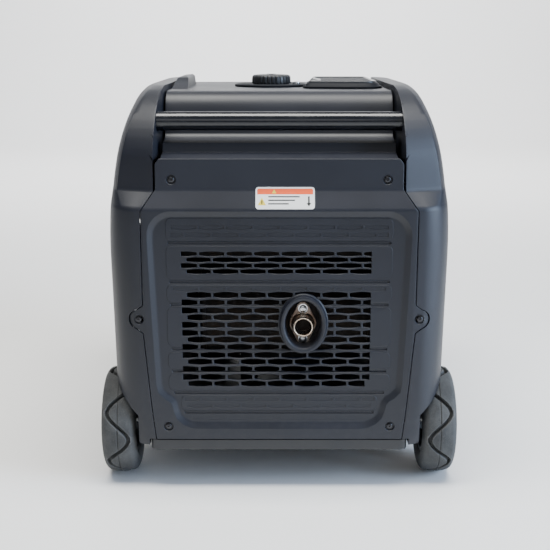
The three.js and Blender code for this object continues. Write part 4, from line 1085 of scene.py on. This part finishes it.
def spark_screen(x, z):
    """A woven wire screen: two sets of wires, each over and under the other."""
    pitch, radius, wire = 1.45, 10.3, 0.34
    stacks = []
    reach = int(radius / pitch)
    for across in (0, 1):
        for i in range(-reach, reach + 1):
            at = i * pitch
            half = math.sqrt(radius ** 2 - at ** 2)
            steps = max(4, int(2 * half / (pitch / 2)))
            rings = []
            for k in range(steps + 1):
                along = -half + 2 * half * k / steps
                wave = 0.32 * math.cos(math.pi * along / pitch + math.pi * (i + across))
                ring = []
                for corner in range(5):
                    turn = 2 * math.pi * corner / 5
                    side_step, out_step = wire * math.cos(turn), wire * math.sin(turn)
                    px, pz = (along, at + side_step) if across else (at + side_step, along)
                    ring.append((x + px, -286 + wave + out_step, z + pz))
                rings.append(ring)
            stacks.append(rings)
    made = body_of("spark_screen_wires", *stacks)
    dress(made, SHEET, "frame", "dark_sheet", "spark_arrestor_screen")


# ------------ fuel cap
CAP = (-11, -20, 520.6)


def fuel_cap():
    """A crowned cap with a knurled skirt and a raised arrow, and the stud of its strap beside it."""
    x, y, foot = CAP
    profile = ((26.4, 0, 0), (26.8, 0.6, 0), (26.8, 3.0, 0), (28.2, 3.6, 0.3), (28.8, 4.6, 1), (28.9, 8, 1),
               (28.7, 12.2, 1), (28.1, 14.2, 0.8), (26.6, 15.7, 0.35), (24.4, 16.4, 0), (20, 16.8, 0),
               (19.2, 16.5, 0), (18.4, 16.5, 0), (17.6, 16.9, 0), (9, 17.2, 0), (1, 17.3, 0))
    ribs, count = 28, 336
    rings = []
    for radius, up, depth in profile:
        ring = []
        for i in range(count):
            turn = 2 * math.pi * i / count
            swell = eased(abs(math.sin(ribs * turn / 2)), 0.25, 0.75)
            r = radius - 1.5 * depth * (1 - swell)
            ring.append((x + r * math.cos(turn), y + r * math.sin(turn), foot + up))
        rings.append(ring)
    cap = body_of("fuel_cap_knurled", rings)
    dress(smoothed(cap, 40), BLACK, "fuel_cap_body", "black_plastic", "fuel_cap")
    arrow = [(-3, -14), (3, -14), (3, -4), (7, -4), (0, 5), (-7, -4), (-3, -4)]
    steps = ((0, 16.6), (0, 17.5), (-0.3, 17.8))
    mark = [[(x + a, y - 2 + b, foot + up) for a, b in grown(arrow, growth)] for growth, up in steps]
    dress(smoothed(body_of("fuel_cap_arrow", mark), 30), BLACK, "fuel_cap_body", "black_plastic")
    nub = turned([(5.2, 520.6), (5.2, 526), (4.6, 527.4), (3, 528), (0.2, 528.2)], "z", (26, -46, 0), 32)
    dress(smoothed(body_of("cap_strap_stud", nub), 40), ZINC, "frame", "zinc_plate")


LID_TOP = 520
LID_SCREWS = (122, -152)


def top_cover():
    """The lid, with a screw in a shallow cup near each corner of its rear edge."""
    cover = from_cad("top_cover")
    x, y = LID_SCREWS
    steps = ((6.6, 1), (6.4, -0.1), (5.9, -0.7), (5.6, -1.6))
    cups = [turned([(r, LID_TOP + up) for r, up in steps], "z", (side * x, y, 0), 40) for side in (-1, 1)]
    cut(cover, body_of("lid_cups", *cups))
    dress(softened(cover, 0.6 * MM, 2, 30), HOUSING, "frame", "housing_plastic", "top_cover")
    for name, side in (("left", -1), ("right", 1)):
        place = (side * x, y, 0)
        screw(f"lid_screw_{name}", BLACKENED, "zinc_plate", LID_TOP - 1.7, 1, "z", 4.4, 1.9, place, 1, 35)


def hatch_outline():
    """The service hatch from above: a long rounded lid with a waist where it passes the fuel cap."""
    line = [(50, -106)]
    for control, end in (((100, -120), (128, -112)), ((146, -106), (147, -84)), ((147, 10), (147, 96)),
                         ((146, 116), (126, 118)), ((96, 118), (64, 118)), ((46, 116), (46, 96)),
                         ((46, 40), (50, 6)), ((53, -20), (48, -46)), ((38, -78), (34, -92)),
                         ((34, -104), (50, -106))):
        line += curve(line[-1], control, end, count=6)
    return line[1:]


def hatch_rings(outline, steps):
    return [[(x, y, LID_TOP + up) for x, y in grown(outline, growth)] for growth, up in steps]


def service_hatch():
    """A crowned lid with a lip at its foot and a raised bead round its top."""
    outline = hatch_outline()
    crown = ((-0.4, 0.5), (0, 0.8), (0, 2.6), (-0.6, 3.3), (-2.4, 3.5), (-3.2, 3.9), (-5, 6.6), (-7, 8),
             (-10, 8.8), (-14, 9))
    lid = body_of("service_hatch_lid", hatch_rings(outline, crown))
    dress(smoothed(lid, 40), MATTE, "hatch", "gloss_trim", "service_hatch")
    bead = ((-8, 7), (-8.3, 9.6), (-9.3, 10.4), (-10.5, 10.4), (-11.5, 9.6), (-11.8, 7))
    ring = body_of("service_hatch_bead", hatch_rings(outline, bead), round_trip=True)
    dress(smoothed(ring, 60), TRIM, "hatch", "gloss_trim")


rear_panel()
front_panel()
top_cover()
service_hatch()
for side in (-1, 1):
    side_panel(side)
service_door()
panel_screws("rear", -1)
panel_screws("front", 1)
slope_label()
for side, hand in ((-1, 1), (1, -1)):
    tyre(side, hand)
    wheel(side)
exhaust_outlet()
fuel_cap()

NODE_FINISHES = {
    BLACK: "door_latch left_handle_guide right_handle_guide spark_plug air_filter_box pull_grip battery "
           "control_panel engine_dial breaker_button economy_switch outlet_left outlet_right locking_outlet",
    MATTE: "cap_dish",
    COAT: "carry_bar tow_handle",
    SATIN: "base_pan front_stand valve_cover fan_shroud",
    RUBBER: "left_foot right_foot tow_handle_grip starter_rope rear_engine_mount front_engine_mount",
    ZINC: "axle fuel_strainer crankshaft ground_terminal",
    CAST: "crankcase cylinder carburettor inverter_module",
    SHEET: "muffler heat_shield exhaust_pipe flywheel_rotor",
    TANK: "fuel_tank",
    RED: "start_button",
    WINDOW: "display",
    COPPER: "stator",
}
for material, names in NODE_FINISHES.items():
    for node in names.split():
        refined(node, material)


# ------------ stage
ROOM = 6
SWEEP = 1.6


def add_stage():
    """A pale floor that sweeps up into a backdrop beyond the generator."""
    side_line = [(-ROOM, 0)]
    for i in range(13):
        turn = math.radians(90 * i / 12)
        side_line.append((ROOM - SWEEP + SWEEP * math.sin(turn), SWEEP - SWEEP * math.cos(turn)))
    side_line.append((ROOM, ROOM))
    bm = bmesh.new()
    rows = [[bm.verts.new((x, y, z)) for y, z in side_line] for x in (-ROOM, ROOM)]
    for i in range(len(side_line) - 1):
        bm.faces.new((rows[0][i], rows[1][i], rows[1][i + 1], rows[0][i + 1]))
    floor = solid_from(bm, "floor")
    floor.data.shade_smooth()
    floor.data.materials.append(pale_floor("pale_floor"))


def add_light(name, place, target, size, power, color):
    data = bpy.data.lights.new(name, "AREA")
    data.shape = "RECTANGLE"
    data.size, data.size_y = size
    data.energy = power
    data.color = color
    light = bpy.data.objects.new(name, data)
    bpy.context.scene.collection.objects.link(light)
    light.location = place
    light.rotation_euler = (Vector(target) - Vector(place)).to_track_quat("-Z", "Y").to_euler()


def add_lights():
    world = bpy.data.worlds.new("studio")
    world.use_nodes = True
    background = world.node_tree.nodes["Background"]
    background.inputs["Color"].default_value = (0.93, 0.96, 1.0, 1)
    background.inputs["Strength"].default_value = 0.18
    bpy.context.scene.world = world
    middle = (0, 0, 0.3)
    add_light("overhead", (0, -0.45, 2.6), middle, (2.6, 1.1), 150, (1.0, 0.99, 0.94))
    add_light("backdrop", (0, 2.2, 3.2), (0, ROOM, 1.2), (4.0, 1.0), 420, (1.0, 1.0, 1.0))
    add_light("front", (-0.4, -3.4, 1.6), middle, (1.8, 1.2), 8, (1.0, 1.0, 1.0))
    add_light("cool_side", (2.45, -1.1, 1.0), middle, (1.3, 1.6), 115, (0.60, 0.76, 1.0))


add_stage()
add_lights()
